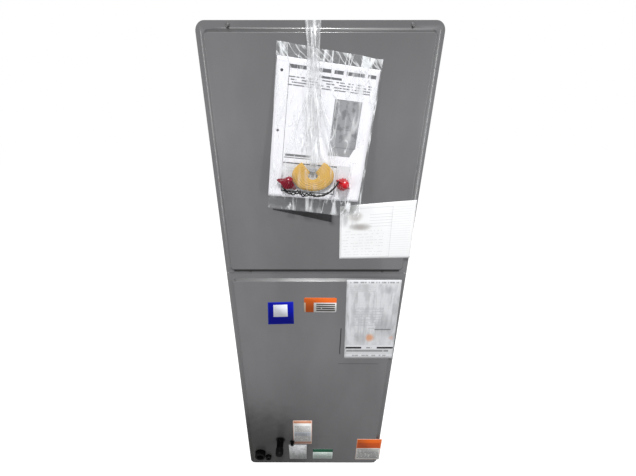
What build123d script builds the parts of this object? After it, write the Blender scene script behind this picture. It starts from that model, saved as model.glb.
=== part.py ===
from build123d import *
from math import asin, atan2, cos, degrees, radians, sin, tan
import os

os.makedirs("parts", exist_ok=True)

# An upright air handler in millimetres. X runs to the right as seen from the front, the doors
# face -Y and Z is up. The origin lies on the floor, under the middle of the whole object.

# Doors
door_width = 502.0
door_top = 1473.0
door_bottom = 2.0
seam_height = 890.0
seam_gap = 1.0
sheet = 1.2
door_corner = 20.0
side_flange = 12.0
top_flange = 15.0
upper_sill = 9.2
lower_head = 16.5
lower_sill = 12.0
field_rise = 8.0
field_bevel = 6.5
field_corner = 14.0
field_edge_radius = 2.0
door_lip = 8.0
door_gap = 0.3

# Case
case_depth = 535.0
case_inset = 7.0
case_top_drop = 4.0
case_flange = 14.0
rear_flange = 20.0
base_flange = 16.0
header_flange = 25.0
rail_height = 48.0
rail_depth = 20.0
liner = 12.7
joint_gap = 0.5
round_sides = 24

# Openings for the ducts
supply_width = 400.0
supply_front_margin = 105.0
supply_back_margin = 35.0
collar_height = 12.0
return_width = 396.0
return_front_margin = 50.0
return_back_margin = 45.0
return_lip = 8.0
anchor_radius = 4.0
anchor_margin = 26.0

# Filter
filter_thickness = 24.0
filter_setback = 12.0
filter_rear_gap = 7.9
filter_board = 1.5
filter_border = 20.0
filter_play = 1.0
filter_lift = 0.3
pleat_count = 18
pleat_sheet = 1.2
rail_lip = 16.0

# Drain pan and its outlets
pan_bottom = 50.0
pan_height = 50.0
pan_wall = 2.5
pan_setback = 40.0
pan_rear_gap = 3.0
trough_side = 76.0
trough_end = 52.0
pan_inner_drop = 10.0
pan_corner = 9.0
drain_inset = 44.0
drain_z = 80.0
drain_bore = 12.1
drain_tube = 16.0
drain_collar = 20.0
drain_reach = 17.0
drain_collar_length = 16.0
plug_inset = 74.0
plug_z = 57.0
plug_radius = 11.0
plug_reach = 9.0
hole_play = 1.5

# Cooling coil
coil_setback = 85.0
coil_rear_gap = 60.0
slab_length = 560.0
slab_thickness = 57.0
slab_ledge = 61.6
slab_head_gap = 12.6
slab_seat = 0.3
fin_count = 14
fin_groove = 6.0
fin_relief = 5.0
tube_sheet = 1.5
bend_count = 6
bend_first = 60.0
bend_pitch = 84.0
bend_tube = 4.75
bend_reach = 12.7
bend_leg = 5.0
bend_corner = 5.3
bend_sides = 6

# Refrigerant lines
suction_inset = 124.0
suction_z = 160.6
suction_tube = 11.1
suction_sides = 12
suction_bend = 32.0
header_gap = 38.0
header_top = 352.0
branch_heights = (226.0, 252.0, 308.0, 332.0)
branch_tube = 4.75
stub_reach = 64.0
suction_cap_radius = 14.5
cap_edge = 0.25
cap_wall = 3.0
suction_grommet_radius = 17.5
liquid_inset = 169.0
liquid_z = 150.0
liquid_tube = 4.75
liquid_sides = 8
liquid_bend = 16.0
liquid_setback = 34.0
liquid_top = 205.0
liquid_reach = 14.0
liquid_cap_radius = 6.5
liquid_grommet_radius = 9.0
grommet_depth = 9.0
tube_play = 0.2
distributor_radius = 11.0
distributor_height = 34.0
feeder_tube = 2.4
feeder_heights = (385.0, 400.0, 412.0)

# Blower
deck_height = 1288.0
housing_width = 240.0
scroll_front_gap = 110.0
scroll_radius = 150.0
scroll_step = 25.0
scroll_neck = 30.0
scroll_flats = 7
housing_rim = 5.0
wheel_shift = 12.0
wheel_radius = 127.0
blade_inner = 106.0
blade_outer = 125.0
blade_sweep = 7.0
blade_bulge = 3.4
blade_thickness = 1.2
blade_count = 24
wheel_width = 200.0
wheel_ring = 6.0
wheel_ring_inner = 120.0
wheel_disc = 2.0
hub_radius = 17.0
hub_length = 36.0
inlet_radius = 100.0
inlet_curl = 12.0
inlet_sides = 32
tongue_angle = 62.0
shaft_radius = 6.35
shaft_play = 0.05
motor_radius = 70.0
motor_start = 50.0
motor_length = 96.0
bell_depth = 14.0
bell_nose = 0.55
vent_count = 10
mount_width = 20.0
mount_strap = 2.0
arm_width = 16.0
arm_foot = 16.0

# Controls
tray_front = 26.0
tray_back = 92.0
tray_gap = 0.5
heater_opening_height = 110.0
plate_margin = 17.6
plate_clear = 6.0
plate_overlap = 12.0
switch_width = 20.0
switch_height = 18.0
switch_depth = 40.0
switch_z = 1434.0
switch_setback = 4.0
plunger_radius = 3.5
plunger_travel = 3.0
plunger_length = 32.0
capacitor_radius = 22.0
capacitor_height = 74.0
capacitor_sides = 20

# Screws
screw_head = 3.0
screw_washer = 0.8
screw_washer_radius = 4.4
screw_hex = 3.5
screw_shank = 2.1
screw_length = 9.0
screw_hole = 2.6
top_screw_x = 185.0
top_screw_drop = 9.0
seam_screw_x = 182.0
seam_screw_rise = 4.6
foot_screw_rise = 6.5

# Papers hung on the upper door
bag_tilt = -7.3
bag_corner_x = -88.0
bag_corner_z = 1437.0
bag_width = 221.0
bag_height = 345.0
bag_top_thickness = 3.4
bag_bottom_thickness = 25.0
bag_belly_share = 0.6
bag_film = 0.5
paper_width = 214.0
paper_height = 290.0
paper_thickness = 1.6
paper_drop = 27.0
paper_lean = 12.0
soft_gap = 0.3
tape_width = 33.0
tape_x = -14.5
tape_thickness = 0.5
tape_bottom = 1190.0
tape_over_bag = 0.5
tape_meets_door = 5.0
tape_over_bend = 2.5
tape_end_gap = 1.5

fit_clear = 1.0
door_hole_clear = 0.8
board_side_gap = 8.0
board_foot_gap = 3.5
pleat_spread = 1.4
plug_socket_share = 0.7
cap_overlap = 2.0
distributor_neck_share = 0.6
feeder_spread_share = 0.62
shaft_stub = 4.0
mount_arm = (6.0, 18.0)
band_gap = 2.0
transformer_foot_height = 62.0
board_hole_inset = (14.0, 16.0)
board_post_width = 6.0
board_relay = (22.0, 28.0)
board_connector = (58.0, 12.0)
block_rib_width = 3.0
block_screw_radius = 6.5
block_screw_height = 5.0
capacitor_wall_gap = 1.5
terminal_circle = 10.0
terminal_blade = (1.0, 6.3)
terminal_height = 8.0
strap_height = 14.0
strap_ear = 14.0

# Places that follow from the driving sizes
door_seat = sheet + door_gap
whole_depth = stub_reach + door_seat + case_depth
door_face = -whole_depth / 2 + stub_reach
field_face = door_face - field_rise
case_front = door_face + door_seat
case_back = case_front + case_depth
case_half = door_width / 2 - case_inset
case_top = door_top - case_top_drop
inner_half = case_half - sheet - liner
rear_face = case_back - 2 * sheet
liner_face = rear_face - liner
panel_top = case_top - sheet
drain_x = drain_inset - door_width / 2
plug_x = plug_inset - door_width / 2
suction_x = suction_inset - door_width / 2
liquid_x = liquid_inset - door_width / 2
bevel_angle = degrees(atan2(field_bevel, field_rise))
pan_inset = sheet * tan(radians((90 - bevel_angle) / 2))


def facing_front(y):
    # A plane whose local axes are X and Z, looking out of the front of the unit
    return Plane(origin=(0, y, 0), x_dir=(1, 0, 0), z_dir=(0, -1, 0))


def facing_right(x, y=0.0, z=0.0):
    # A plane whose local axes are Y and Z, looking to the right
    return Plane(origin=(x, y, z), x_dir=(0, 1, 0), z_dir=(1, 0, 0))


def facing_back(y):
    # A plane whose local axes are -X and Z, looking to the back
    return Plane(origin=(0, y, 0), x_dir=(-1, 0, 0), z_dir=(0, 1, 0))


def bent_outline(points, thickness):
    # The section of a folded sheet: its fold line and the same line one thickness to the left
    path = [Vector(*point) for point in points]
    runs = [(b - a).normalized() for a, b in zip(path, path[1:])]
    lefts = [Vector(-run.Y, run.X) for run in runs]
    inner = [path[0] + lefts[0] * thickness]
    for corner, before, after in zip(path[1:-1], lefts, lefts[1:]):
        inner.append(corner + (before + after) * (thickness / (1 + before.dot(after))))
    inner.append(path[-1] + lefts[-1] * thickness)
    return path + inner[::-1]


# Case: base, sides, back, top and the rail behind the door seam
with BuildPart() as base_frame:
    with BuildSketch(Plane.XY):
        with Locations((0, case_front)):
            Rectangle(2 * case_half, case_depth, align=(Align.CENTER, Align.MIN))
        with Locations((0, case_front + return_front_margin)):
            Rectangle(
                return_width,
                case_depth - return_front_margin - return_back_margin,
                align=(Align.CENTER, Align.MIN),
                mode=Mode.SUBTRACT,
            )
        with Locations((0, (case_front + case_back) / 2)):
            with GridLocations(2 * (case_half - anchor_margin), case_depth - 2 * anchor_margin, 2, 2):
                Circle(anchor_radius, mode=Mode.SUBTRACT)
    extrude(amount=sheet)
    with BuildSketch(Plane.XY):
        with Locations((0, case_front + return_front_margin - sheet)):
            Rectangle(
                return_width + 2 * sheet,
                case_depth - return_front_margin - return_back_margin + 2 * sheet,
                align=(Align.CENTER, Align.MIN),
            )
        with Locations((0, case_front + return_front_margin)):
            Rectangle(
                return_width,
                case_depth - return_front_margin - return_back_margin,
                align=(Align.CENTER, Align.MIN),
                mode=Mode.SUBTRACT,
            )
    extrude(amount=return_lip)
    with BuildSketch(facing_front(case_front + sheet)):
        with Locations((0, 0)):
            Rectangle(
                2 * (case_half - case_flange - joint_gap),
                base_flange,
                align=(Align.CENTER, Align.MIN),
            )
        foot_row = door_bottom + foot_screw_rise
        with Locations((-top_screw_x, foot_row), (top_screw_x, foot_row)):
            RegularPolygon(screw_hole, 6, mode=Mode.SUBTRACT)
    extrude(amount=sheet)
    with BuildSketch(facing_front(rear_face + sheet)):
        Rectangle(2 * (case_half - rear_flange - joint_gap), base_flange, align=(Align.CENTER, Align.MIN))
    extrude(amount=sheet)
    with BuildSketch(Plane.XY):
        for side in (-1, 1):
            with Locations((side * (case_half - 1.5 * sheet), (case_front + case_back) / 2)):
                Rectangle(sheet, case_depth - 2 * rear_flange)
    extrude(amount=base_flange)
base_frame.part.label = "base_frame"
export_step(base_frame.part, "parts/base_frame.step")

with BuildPart() as right_side_panel:
    with BuildSketch(Plane.XY.offset(sheet)):
        Polygon(
            *bent_outline(
                [
                    (case_half - case_flange, case_front),
                    (case_half, case_front),
                    (case_half, case_back - sheet),
                    (case_half - rear_flange, case_back - sheet),
                ],
                sheet,
            )
        )
    extrude(amount=panel_top - sheet)
right_side_panel.part.label = "right_side_panel"
export_step(right_side_panel.part, "parts/right_side_panel.step")

with BuildPart() as left_side_panel:
    mirror(right_side_panel.part, about=Plane.YZ)
left_side_panel.part.label = "left_side_panel"
export_step(left_side_panel.part, "parts/left_side_panel.step")

with BuildPart() as back_panel:
    with BuildSketch(facing_back(case_back - sheet)):
        with Locations((0, sheet)):
            Rectangle(2 * case_half, panel_top - sheet, align=(Align.CENTER, Align.MIN))
    extrude(amount=sheet)
back_panel.part.label = "back_panel"
export_step(back_panel.part, "parts/back_panel.step")

with BuildPart() as top_panel:
    supply_depth = case_depth - supply_front_margin - supply_back_margin
    with BuildSketch(Plane.XY.offset(panel_top)):
        with Locations((0, case_front)):
            Rectangle(2 * case_half, case_depth, align=(Align.CENTER, Align.MIN))
        with Locations((0, case_front + supply_front_margin)):
            Rectangle(supply_width, supply_depth, align=(Align.CENTER, Align.MIN), mode=Mode.SUBTRACT)
    extrude(amount=sheet)
    with BuildSketch(Plane.XY.offset(panel_top)):
        with Locations((0, case_front + supply_front_margin - sheet)):
            Rectangle(supply_width + 2 * sheet, supply_depth + 2 * sheet, align=(Align.CENTER, Align.MIN))
        with Locations((0, case_front + supply_front_margin)):
            Rectangle(supply_width, supply_depth, align=(Align.CENTER, Align.MIN), mode=Mode.SUBTRACT)
    extrude(amount=sheet + collar_height)
    with BuildSketch(facing_front(case_front + sheet)):
        with Locations((0, panel_top)):
            Rectangle(
                2 * (case_half - case_flange - joint_gap),
                header_flange,
                align=(Align.CENTER, Align.MAX),
            )
        with Locations((-top_screw_x, door_top - top_screw_drop), (top_screw_x, door_top - top_screw_drop)):
            RegularPolygon(screw_hole, 6, mode=Mode.SUBTRACT)
    extrude(amount=sheet)
top_panel.part.label = "top_panel"
export_step(top_panel.part, "parts/top_panel.step")

with BuildPart() as center_rail:
    rail_half = case_half - case_flange - joint_gap
    with BuildSketch(facing_right(-rail_half)):
        Polygon(
            *bent_outline(
                [
                    (case_front + rail_depth, seam_height + rail_height / 2),
                    (case_front, seam_height + rail_height / 2),
                    (case_front, seam_height - rail_height / 2),
                    (case_front + rail_depth, seam_height - rail_height / 2),
                ],
                sheet,
            )
        )
    extrude(amount=2 * rail_half)
    with BuildSketch(facing_front(case_front + 2 * sheet)):
        seam_screw_z = seam_height + seam_gap / 2 + seam_screw_rise
        with Locations((-seam_screw_x, seam_screw_z), (seam_screw_x, seam_screw_z)):
            RegularPolygon(screw_hole, 6)
    extrude(amount=3 * sheet, mode=Mode.SUBTRACT)
center_rail.part.label = "center_rail"
export_step(center_rail.part, "parts/center_rail.step")

# Insulation boards inside the case
liner_bottom = base_flange + joint_gap
liner_height = panel_top - joint_gap - liner_bottom

with BuildPart() as right_liner:
    with BuildSketch(Plane.XY.offset(liner_bottom)):
        with Locations((inner_half, case_front + sheet)):
            Rectangle(liner, rear_face - rear_flange / 2 - case_front - sheet, align=(Align.MIN, Align.MIN))
    extrude(amount=liner_height)
right_liner.part.label = "right_liner"
export_step(right_liner.part, "parts/right_liner.step")

with BuildPart() as left_liner:
    mirror(right_liner.part, about=Plane.YZ)
left_liner.part.label = "left_liner"
export_step(left_liner.part, "parts/left_liner.step")

with BuildPart() as back_liner:
    with BuildSketch(Plane.XY.offset(liner_bottom)):
        with Locations((0, liner_face)):
            Rectangle(2 * inner_half, liner, align=(Align.CENTER, Align.MIN))
    extrude(amount=liner_height)
back_liner.part.label = "back_liner"
export_step(back_liner.part, "parts/back_liner.step")

# Filter and its rails
filter_rail_bottom = base_flange + fit_clear
filter_bottom = filter_rail_bottom + sheet + filter_lift
filter_rail_top = filter_bottom + filter_thickness + filter_play + sheet
filter_half = inner_half - sheet - filter_play

with BuildPart() as filter_rails:
    with BuildSketch(facing_front(liner_face - fit_clear)):
        for side in (-1, 1):
            fold = [
                (inner_half - rail_lip, filter_rail_bottom),
                (inner_half, filter_rail_bottom),
                (inner_half, filter_rail_top),
                (inner_half - rail_lip, filter_rail_top),
            ]
            Polygon(*[(side * point.X, point.Y) for point in bent_outline(fold, sheet)])
    extrude(amount=liner_face - fit_clear - case_front - filter_setback / 2)
filter_rails.part.label = "filter_rails"
export_step(filter_rails.part, "parts/filter_rails.step")

filter_length = liner_face - filter_rear_gap - case_front - filter_setback
filter_middle = case_front + filter_setback + filter_length / 2
filter_inner_half = filter_half - filter_board

with BuildPart() as filter_frame:
    with BuildSketch(Plane.XY.offset(filter_bottom)):
        with Locations((0, filter_middle)):
            Rectangle(2 * filter_half, filter_length)
    extrude(amount=filter_thickness)
    with BuildSketch(Plane.XY.offset(filter_bottom + filter_board)):
        with Locations((0, filter_middle)):
            Rectangle(2 * filter_inner_half, filter_length - 2 * filter_board)
    extrude(amount=filter_thickness - 2 * filter_board, mode=Mode.SUBTRACT)
    with BuildSketch(Plane.XY.offset(filter_bottom)):
        with Locations((0, filter_middle)):
            Rectangle(2 * (filter_half - filter_border), filter_length - 2 * filter_border)
    extrude(amount=filter_thickness, mode=Mode.SUBTRACT)
filter_frame.part.label = "filter_frame"
export_step(filter_frame.part, "parts/filter_frame.step")

with BuildPart() as filter_media:
    media_half = filter_inner_half - 2 * filter_lift
    media_low = filter_bottom + filter_board + filter_lift
    media_high = filter_bottom + filter_thickness - filter_board - filter_lift - 1.5 * pleat_sheet
    pleat_step = media_half / pleat_count
    folds = [
        (-media_half + step * pleat_step, media_high if step % 2 else media_low)
        for step in range(2 * pleat_count + 1)
    ]
    with BuildSketch(facing_front(case_front + filter_setback + filter_length - 2 * filter_board)):
        Polygon(*[(x, z) for x, z in folds], *[(x, z + pleat_spread * pleat_sheet) for x, z in reversed(folds)])
    extrude(amount=filter_length - 4 * filter_board)
filter_media.part.label = "filter_media"
export_step(filter_media.part, "parts/filter_media.step")

# Drain pan, the ledges that carry it and its outlets
pan_half = inner_half - sheet - filter_lift
pan_front = case_front + pan_setback
pan_back = liner_face - pan_rear_gap
pan_floor = pan_bottom + pan_wall

with BuildPart() as pan_ledges:
    with BuildSketch(facing_front(pan_back)):
        for side in (-1, 1):
            fold = [
                (inner_half - rail_lip, pan_bottom - sheet),
                (inner_half, pan_bottom - sheet),
                (inner_half, pan_bottom + rail_lip),
            ]
            Polygon(*[(side * point.X, point.Y) for point in bent_outline(fold, sheet)])
    extrude(amount=pan_back - pan_front)
pan_ledges.part.label = "pan_ledges"
export_step(pan_ledges.part, "parts/pan_ledges.step")

with BuildPart() as drain_pan:
    pan_length = pan_back - pan_front
    pan_middle = (pan_back + pan_front) / 2
    with BuildSketch(Plane.XY.offset(pan_bottom)):
        with Locations((0, pan_middle)):
            RectangleRounded(2 * pan_half, pan_length, pan_corner)
            Rectangle(2 * (pan_half - trough_side), pan_length - 2 * trough_end, mode=Mode.SUBTRACT)
    extrude(amount=pan_height)
    with BuildSketch(Plane.XY.offset(pan_floor)):
        with Locations((0, pan_middle)):
            RectangleRounded(2 * (pan_half - pan_wall), pan_length - 2 * pan_wall, pan_corner - pan_wall)
            Rectangle(
                2 * (pan_half - trough_side + pan_wall),
                pan_length - 2 * (trough_end - pan_wall),
                mode=Mode.SUBTRACT,
            )
    extrude(amount=pan_height, mode=Mode.SUBTRACT)
    with BuildSketch(Plane.XY.offset(pan_bottom + pan_height - pan_inner_drop)):
        with Locations((0, pan_middle)):
            Rectangle(2 * (pan_half - trough_side + pan_wall), pan_length - 2 * (trough_end - pan_wall))
    extrude(amount=pan_height, mode=Mode.SUBTRACT)
    with BuildSketch(facing_front(pan_front + 2 * pan_wall)):
        with Locations((drain_x, drain_z)):
            Circle(drain_bore)
    extrude(amount=3 * pan_wall, mode=Mode.SUBTRACT)
drain_pan.part.label = "drain_pan"
export_step(drain_pan.part, "parts/drain_pan.step")

with BuildPart() as drain_fitting:
    with BuildSketch(facing_front(pan_front)):
        with Locations((drain_x, drain_z)):
            RegularPolygon(drain_tube, round_sides)
            Circle(drain_bore, mode=Mode.SUBTRACT)
    extrude(amount=pan_front - field_face + drain_reach)
    with BuildSketch(facing_front(field_face - drain_reach + drain_collar_length)):
        with Locations((drain_x, drain_z)):
            RegularPolygon(drain_collar, round_sides)
            Circle(drain_bore, mode=Mode.SUBTRACT)
    extrude(amount=drain_collar_length)
drain_fitting.part.label = "drain_fitting"
export_step(drain_fitting.part, "parts/drain_fitting.step")

with BuildPart() as drain_plug:
    with BuildSketch(facing_front(pan_front)):
        with Locations((plug_x, plug_z)):
            RegularPolygon(plug_radius * plug_socket_share, 8)
    extrude(amount=pan_front - field_face)
    with BuildSketch(facing_front(field_face + plug_reach / 2)):
        with Locations((plug_x, plug_z)):
            RegularPolygon(plug_radius, 8)
    extrude(amount=1.5 * plug_reach)
drain_plug.part.label = "drain_plug"
export_step(drain_plug.part, "parts/drain_plug.step")

# Cooling coil: two finned slabs that lean together, and the plates that close its ends
coil_front = case_front + coil_setback
coil_back = case_back - coil_rear_gap
coil_depth = coil_back - coil_front
slab_low = pan_floor + slab_seat
slab_foot = pan_half - slab_ledge
slab_angle = degrees(asin((slab_foot - slab_head_gap) / slab_length))
along = Vector(-sin(radians(slab_angle)), 0, cos(radians(slab_angle)))
outward = Vector(cos(radians(slab_angle)), 0, sin(radians(slab_angle)))
foot_inner = Vector(slab_foot, 0, slab_low)
foot_outer = foot_inner + outward * slab_thickness
head_inner = foot_inner + along * slab_length
head_outer = foot_outer + along * slab_length

with BuildPart() as right_coil_slab:
    slab_plane = Plane(
        origin=(foot_inner.X, coil_front, foot_inner.Z),
        x_dir=(0, 1, 0),
        z_dir=along,
    )
    with BuildSketch(slab_plane):
        Rectangle(coil_depth, slab_thickness, align=(Align.MIN, Align.MAX))
        with Locations((coil_depth / 2, -slab_thickness / 2)):
            with GridLocations(coil_depth / fin_count, slab_thickness, fin_count, 2):
                Rectangle(fin_groove, 2 * fin_relief, mode=Mode.SUBTRACT)
    extrude(amount=slab_length)
right_coil_slab.part.label = "right_coil_slab"
export_step(right_coil_slab.part, "parts/right_coil_slab.step")

with BuildPart() as left_coil_slab:
    mirror(right_coil_slab.part, about=Plane.YZ)
left_coil_slab.part.label = "left_coil_slab"
export_step(left_coil_slab.part, "parts/left_coil_slab.step")

with BuildPart() as coil_tube_sheets:
    for front in (coil_front, coil_back + tube_sheet):
        with BuildSketch(facing_front(front)):
            for side in (-1, 1):
                corners = (foot_inner, foot_outer, head_outer, head_inner)
                Polygon(*[(side * corner.X, corner.Z) for corner in corners])
        extrude(amount=tube_sheet)
coil_tube_sheets.part.label = "coil_tube_sheets"
export_step(coil_tube_sheets.part, "parts/coil_tube_sheets.step")

with BuildPart() as coil_return_bends:
    for side in (-1, 1):
        rise = Vector(side * along.X, 0, along.Z)
        for step in range(bend_count):
            middle = (foot_inner + foot_outer) * 0.5 + along * (bend_first + step * bend_pitch)
            centre = Vector(side * middle.X, coil_front - tube_sheet, middle.Z)
            places = (
                (-bend_reach, 0),
                (-bend_reach, bend_leg + bend_corner),
                (-bend_corner, bend_leg + bend_reach),
                (bend_corner, bend_leg + bend_reach),
                (bend_reach, bend_leg + bend_corner),
                (bend_reach, 0),
            )
            runs = [centre + rise * offset + Vector(0, -depth, 0) for offset, depth in places]
            with BuildLine() as bend_path:
                Polyline(*runs)
            with BuildSketch(Plane(origin=runs[0], x_dir=rise, z_dir=(0, -1, 0))):
                RegularPolygon(bend_tube, bend_sides)
            sweep(path=bend_path.wires()[0], transition=Transition.RIGHT)
coil_return_bends.part.label = "coil_return_bends"
export_step(coil_return_bends.part, "parts/coil_return_bends.step")

with BuildPart() as coil_delta_plates:
    for front in (coil_front, coil_back + tube_sheet):
        with BuildSketch(facing_front(front)):
            Polygon(
                (-foot_inner.X + joint_gap, slab_low),
                (foot_inner.X - joint_gap, slab_low),
                (head_inner.X - joint_gap, head_inner.Z),
                (-head_inner.X + joint_gap, head_inner.Z),
            )
        extrude(amount=tube_sheet)
coil_delta_plates.part.label = "coil_delta_plates"
export_step(coil_delta_plates.part, "parts/coil_delta_plates.step")

with BuildPart() as coil_top_cap:
    cap_z = head_outer.Z + slab_seat
    cap_skirt = 14.0
    with BuildSketch(facing_front(coil_back)):
        fold = [
            (head_outer.X + outward.Z * cap_skirt + cap_overlap, cap_z - cap_skirt),
            (head_outer.X + cap_overlap, cap_z + sheet),
            (-head_outer.X - cap_overlap, cap_z + sheet),
            (-head_outer.X - outward.Z * cap_skirt - cap_overlap, cap_z - cap_skirt),
        ]
        Polygon(*bent_outline(fold, sheet))
    extrude(amount=coil_depth)
coil_top_cap.part.label = "coil_top_cap"
export_step(coil_top_cap.part, "parts/coil_top_cap.step")

def elbow_runs(start, corner, finish, radius):
    # A line from start to finish that rounds its square corner in three small turns
    first = (corner - start).normalized()
    second = (finish - corner).normalized()
    center = corner - first * radius + second * radius
    reach = radius / cos(radians(15))
    turns = [
        center + (first * sin(radians(angle)) - second * cos(radians(angle))) * reach
        for angle in (15, 45, 75)
    ]
    return [start, *turns, finish]


# Refrigerant lines and their caps and grommets
header_y = coil_front - header_gap
stub_tip = door_face - stub_reach
grommet_front = door_face - grommet_depth
suction_end = stub_tip + cap_wall + tube_play

with BuildPart() as suction_header:
    start = Vector(suction_x, suction_end, suction_z)
    corner = Vector(suction_x, header_y, suction_z)
    finish = Vector(suction_x, header_y, header_top)
    with BuildLine() as header_path:
        Polyline(*elbow_runs(start, corner, finish, suction_bend))
    with BuildSketch(facing_front(suction_end)):
        with Locations((suction_x, suction_z)):
            RegularPolygon(suction_tube, suction_sides)
    sweep(path=header_path.wires()[0], transition=Transition.RIGHT)
    for height in branch_heights:
        with BuildSketch(facing_back(header_y + suction_tube / 2)):
            with Locations((-suction_x, height)):
                RegularPolygon(branch_tube, bend_sides)
        extrude(amount=coil_front - tube_sheet - header_y - suction_tube / 2)
suction_header.part.label = "suction_header"
export_step(suction_header.part, "parts/suction_header.step")

liquid_tip = field_face - liquid_reach
liquid_end = liquid_tip + cap_wall + tube_play
liquid_y = case_front + liquid_setback

with BuildPart() as liquid_line:
    start = Vector(liquid_x, liquid_end, liquid_z)
    corner = Vector(liquid_x, liquid_y, liquid_z)
    finish = Vector(liquid_x, liquid_y, liquid_top)
    with BuildLine() as liquid_path:
        Polyline(*elbow_runs(start, corner, finish, liquid_bend))
    with BuildSketch(facing_front(liquid_end)):
        with Locations((liquid_x, liquid_z)):
            RegularPolygon(liquid_tube, liquid_sides)
    sweep(path=liquid_path.wires()[0], transition=Transition.RIGHT)
liquid_line.part.label = "liquid_line"
export_step(liquid_line.part, "parts/liquid_line.step")

with BuildPart() as distributor:
    with BuildSketch(Plane.XY.offset(liquid_top)):
        with Locations((liquid_x, liquid_y)):
            RegularPolygon(distributor_radius * distributor_neck_share, 12)
    extrude(amount=distributor_height * 0.4)
    for height, radius in ((0.4, 0.6), (1.0, 1.0)):
        with BuildSketch(Plane.XY.offset(liquid_top + distributor_height * height)):
            with Locations((liquid_x, liquid_y)):
                RegularPolygon(distributor_radius * radius, 12)
    loft(ruled=True)
    for step, height in enumerate(feeder_heights):
        feeder_x = liquid_x + (step - 1) * distributor_radius * feeder_spread_share
        start = Vector(feeder_x, liquid_y, liquid_top + distributor_height - feeder_tube)
        corner = Vector(feeder_x, liquid_y, height)
        finish = Vector(feeder_x, coil_front - tube_sheet, height)
        with BuildLine() as feeder_path:
            Polyline(start, corner, finish)
        with BuildSketch(Plane(origin=start, z_dir=(0, 0, 1))):
            RegularPolygon(feeder_tube, bend_sides)
        sweep(path=feeder_path.wires()[0], transition=Transition.RIGHT)
distributor.part.label = "distributor"
export_step(distributor.part, "parts/distributor.step")

with BuildPart() as line_caps:
    for x, z, radius, tube, sides, tip in (
        (suction_x, suction_z, suction_cap_radius, suction_tube, suction_sides, stub_tip),
        (liquid_x, liquid_z, liquid_cap_radius, liquid_tube, liquid_sides, liquid_tip),
    ):
        with BuildSketch(facing_front(tip)):
            with Locations((x, z)):
                RegularPolygon(radius, round_sides)
        extrude(amount=-(grommet_front - door_gap - tip))
        tip_face = line_caps.faces().filter_by(Plane.XZ).filter_by(lambda f: abs(f.center().Y - tip) < 0.01)
        chamfer(tip_face.edges(), radius * cap_edge)
        with BuildSketch(facing_front(grommet_front)):
            with Locations((x, z)):
                RegularPolygon(tube + tube_play, sides)
        extrude(amount=grommet_front - tip - cap_wall, mode=Mode.SUBTRACT)
line_caps.part.label = "line_caps"
export_step(line_caps.part, "parts/line_caps.step")

with BuildPart() as line_grommets:
    with BuildSketch(facing_front(door_face + sheet)):
        for x, z, radius, tube, sides in (
            (suction_x, suction_z, suction_grommet_radius, suction_tube, suction_sides),
            (liquid_x, liquid_z, liquid_grommet_radius, liquid_tube, liquid_sides),
        ):
            with Locations((x, z)):
                RegularPolygon(radius, round_sides)
                RegularPolygon(tube + tube_play, sides, mode=Mode.SUBTRACT)
    extrude(amount=sheet + grommet_depth)
line_grommets.part.label = "line_grommets"
export_step(line_grommets.part, "parts/line_grommets.step")

# Blower housing. Its scroll is three quarter turns, each one step wider than the one before.
scroll_y = case_front + scroll_front_gap + scroll_radius
scroll_z = deck_height - scroll_neck - scroll_radius
scroll_right = scroll_y + scroll_step + scroll_radius + 2 * scroll_step
wheel_y = scroll_y + wheel_shift
wheel_z = scroll_z + wheel_shift
housing_half = housing_width / 2


def turn_points(center, radius, start):
    # Points along a quarter turn, for a wall rolled in short flats
    step = 90.0 / scroll_flats
    return [
        (
            center[0] + radius * cos(radians(start + index * step)),
            center[1] + radius * sin(radians(start + index * step)),
        )
        for index in range(scroll_flats + 1)
    ]


def scroll_outline(grow):
    # The closed outline of the scroll and its outlet neck, in Y and Z
    first = scroll_radius + grow
    with BuildSketch() as outline:
        Polygon(
            *turn_points((scroll_y, scroll_z), first, 90),
            *turn_points((scroll_y + scroll_step, scroll_z), first + scroll_step, 180)[1:],
            *turn_points((scroll_y + scroll_step, scroll_z + scroll_step), first + 2 * scroll_step, 270)[1:],
            (scroll_right + grow, deck_height),
            (scroll_y, deck_height),
        )
    return outline.sketch


with BuildPart() as blower_deck:
    with BuildSketch(Plane.XY.offset(deck_height)):
        with Locations((0, case_front + tray_front)):
            Rectangle(
                2 * (inner_half - tray_gap),
                liner_face - case_front - tray_front,
                align=(Align.CENTER, Align.MIN),
            )
        with Locations((0, (scroll_y + scroll_right) / 2)):
            Rectangle(housing_width, scroll_right - scroll_y, mode=Mode.SUBTRACT)
    extrude(amount=sheet)
    with BuildSketch(facing_front(case_front + tray_front + sheet)):
        with Locations((0, deck_height + sheet)):
            Rectangle(2 * (inner_half - tray_gap), rail_lip, align=(Align.CENTER, Align.MAX))
    extrude(amount=sheet)
blower_deck.part.label = "blower_deck"
export_step(blower_deck.part, "parts/blower_deck.step")

with BuildPart() as blower_scroll:
    with BuildSketch(facing_right(-housing_half)):
        add(scroll_outline(sheet))
    extrude(amount=housing_width)
    with BuildSketch(facing_right(-housing_half)):
        add(scroll_outline(0))
    extrude(amount=housing_width, mode=Mode.SUBTRACT)
blower_scroll.part.label = "blower_scroll"
export_step(blower_scroll.part, "parts/blower_scroll.step")

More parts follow.
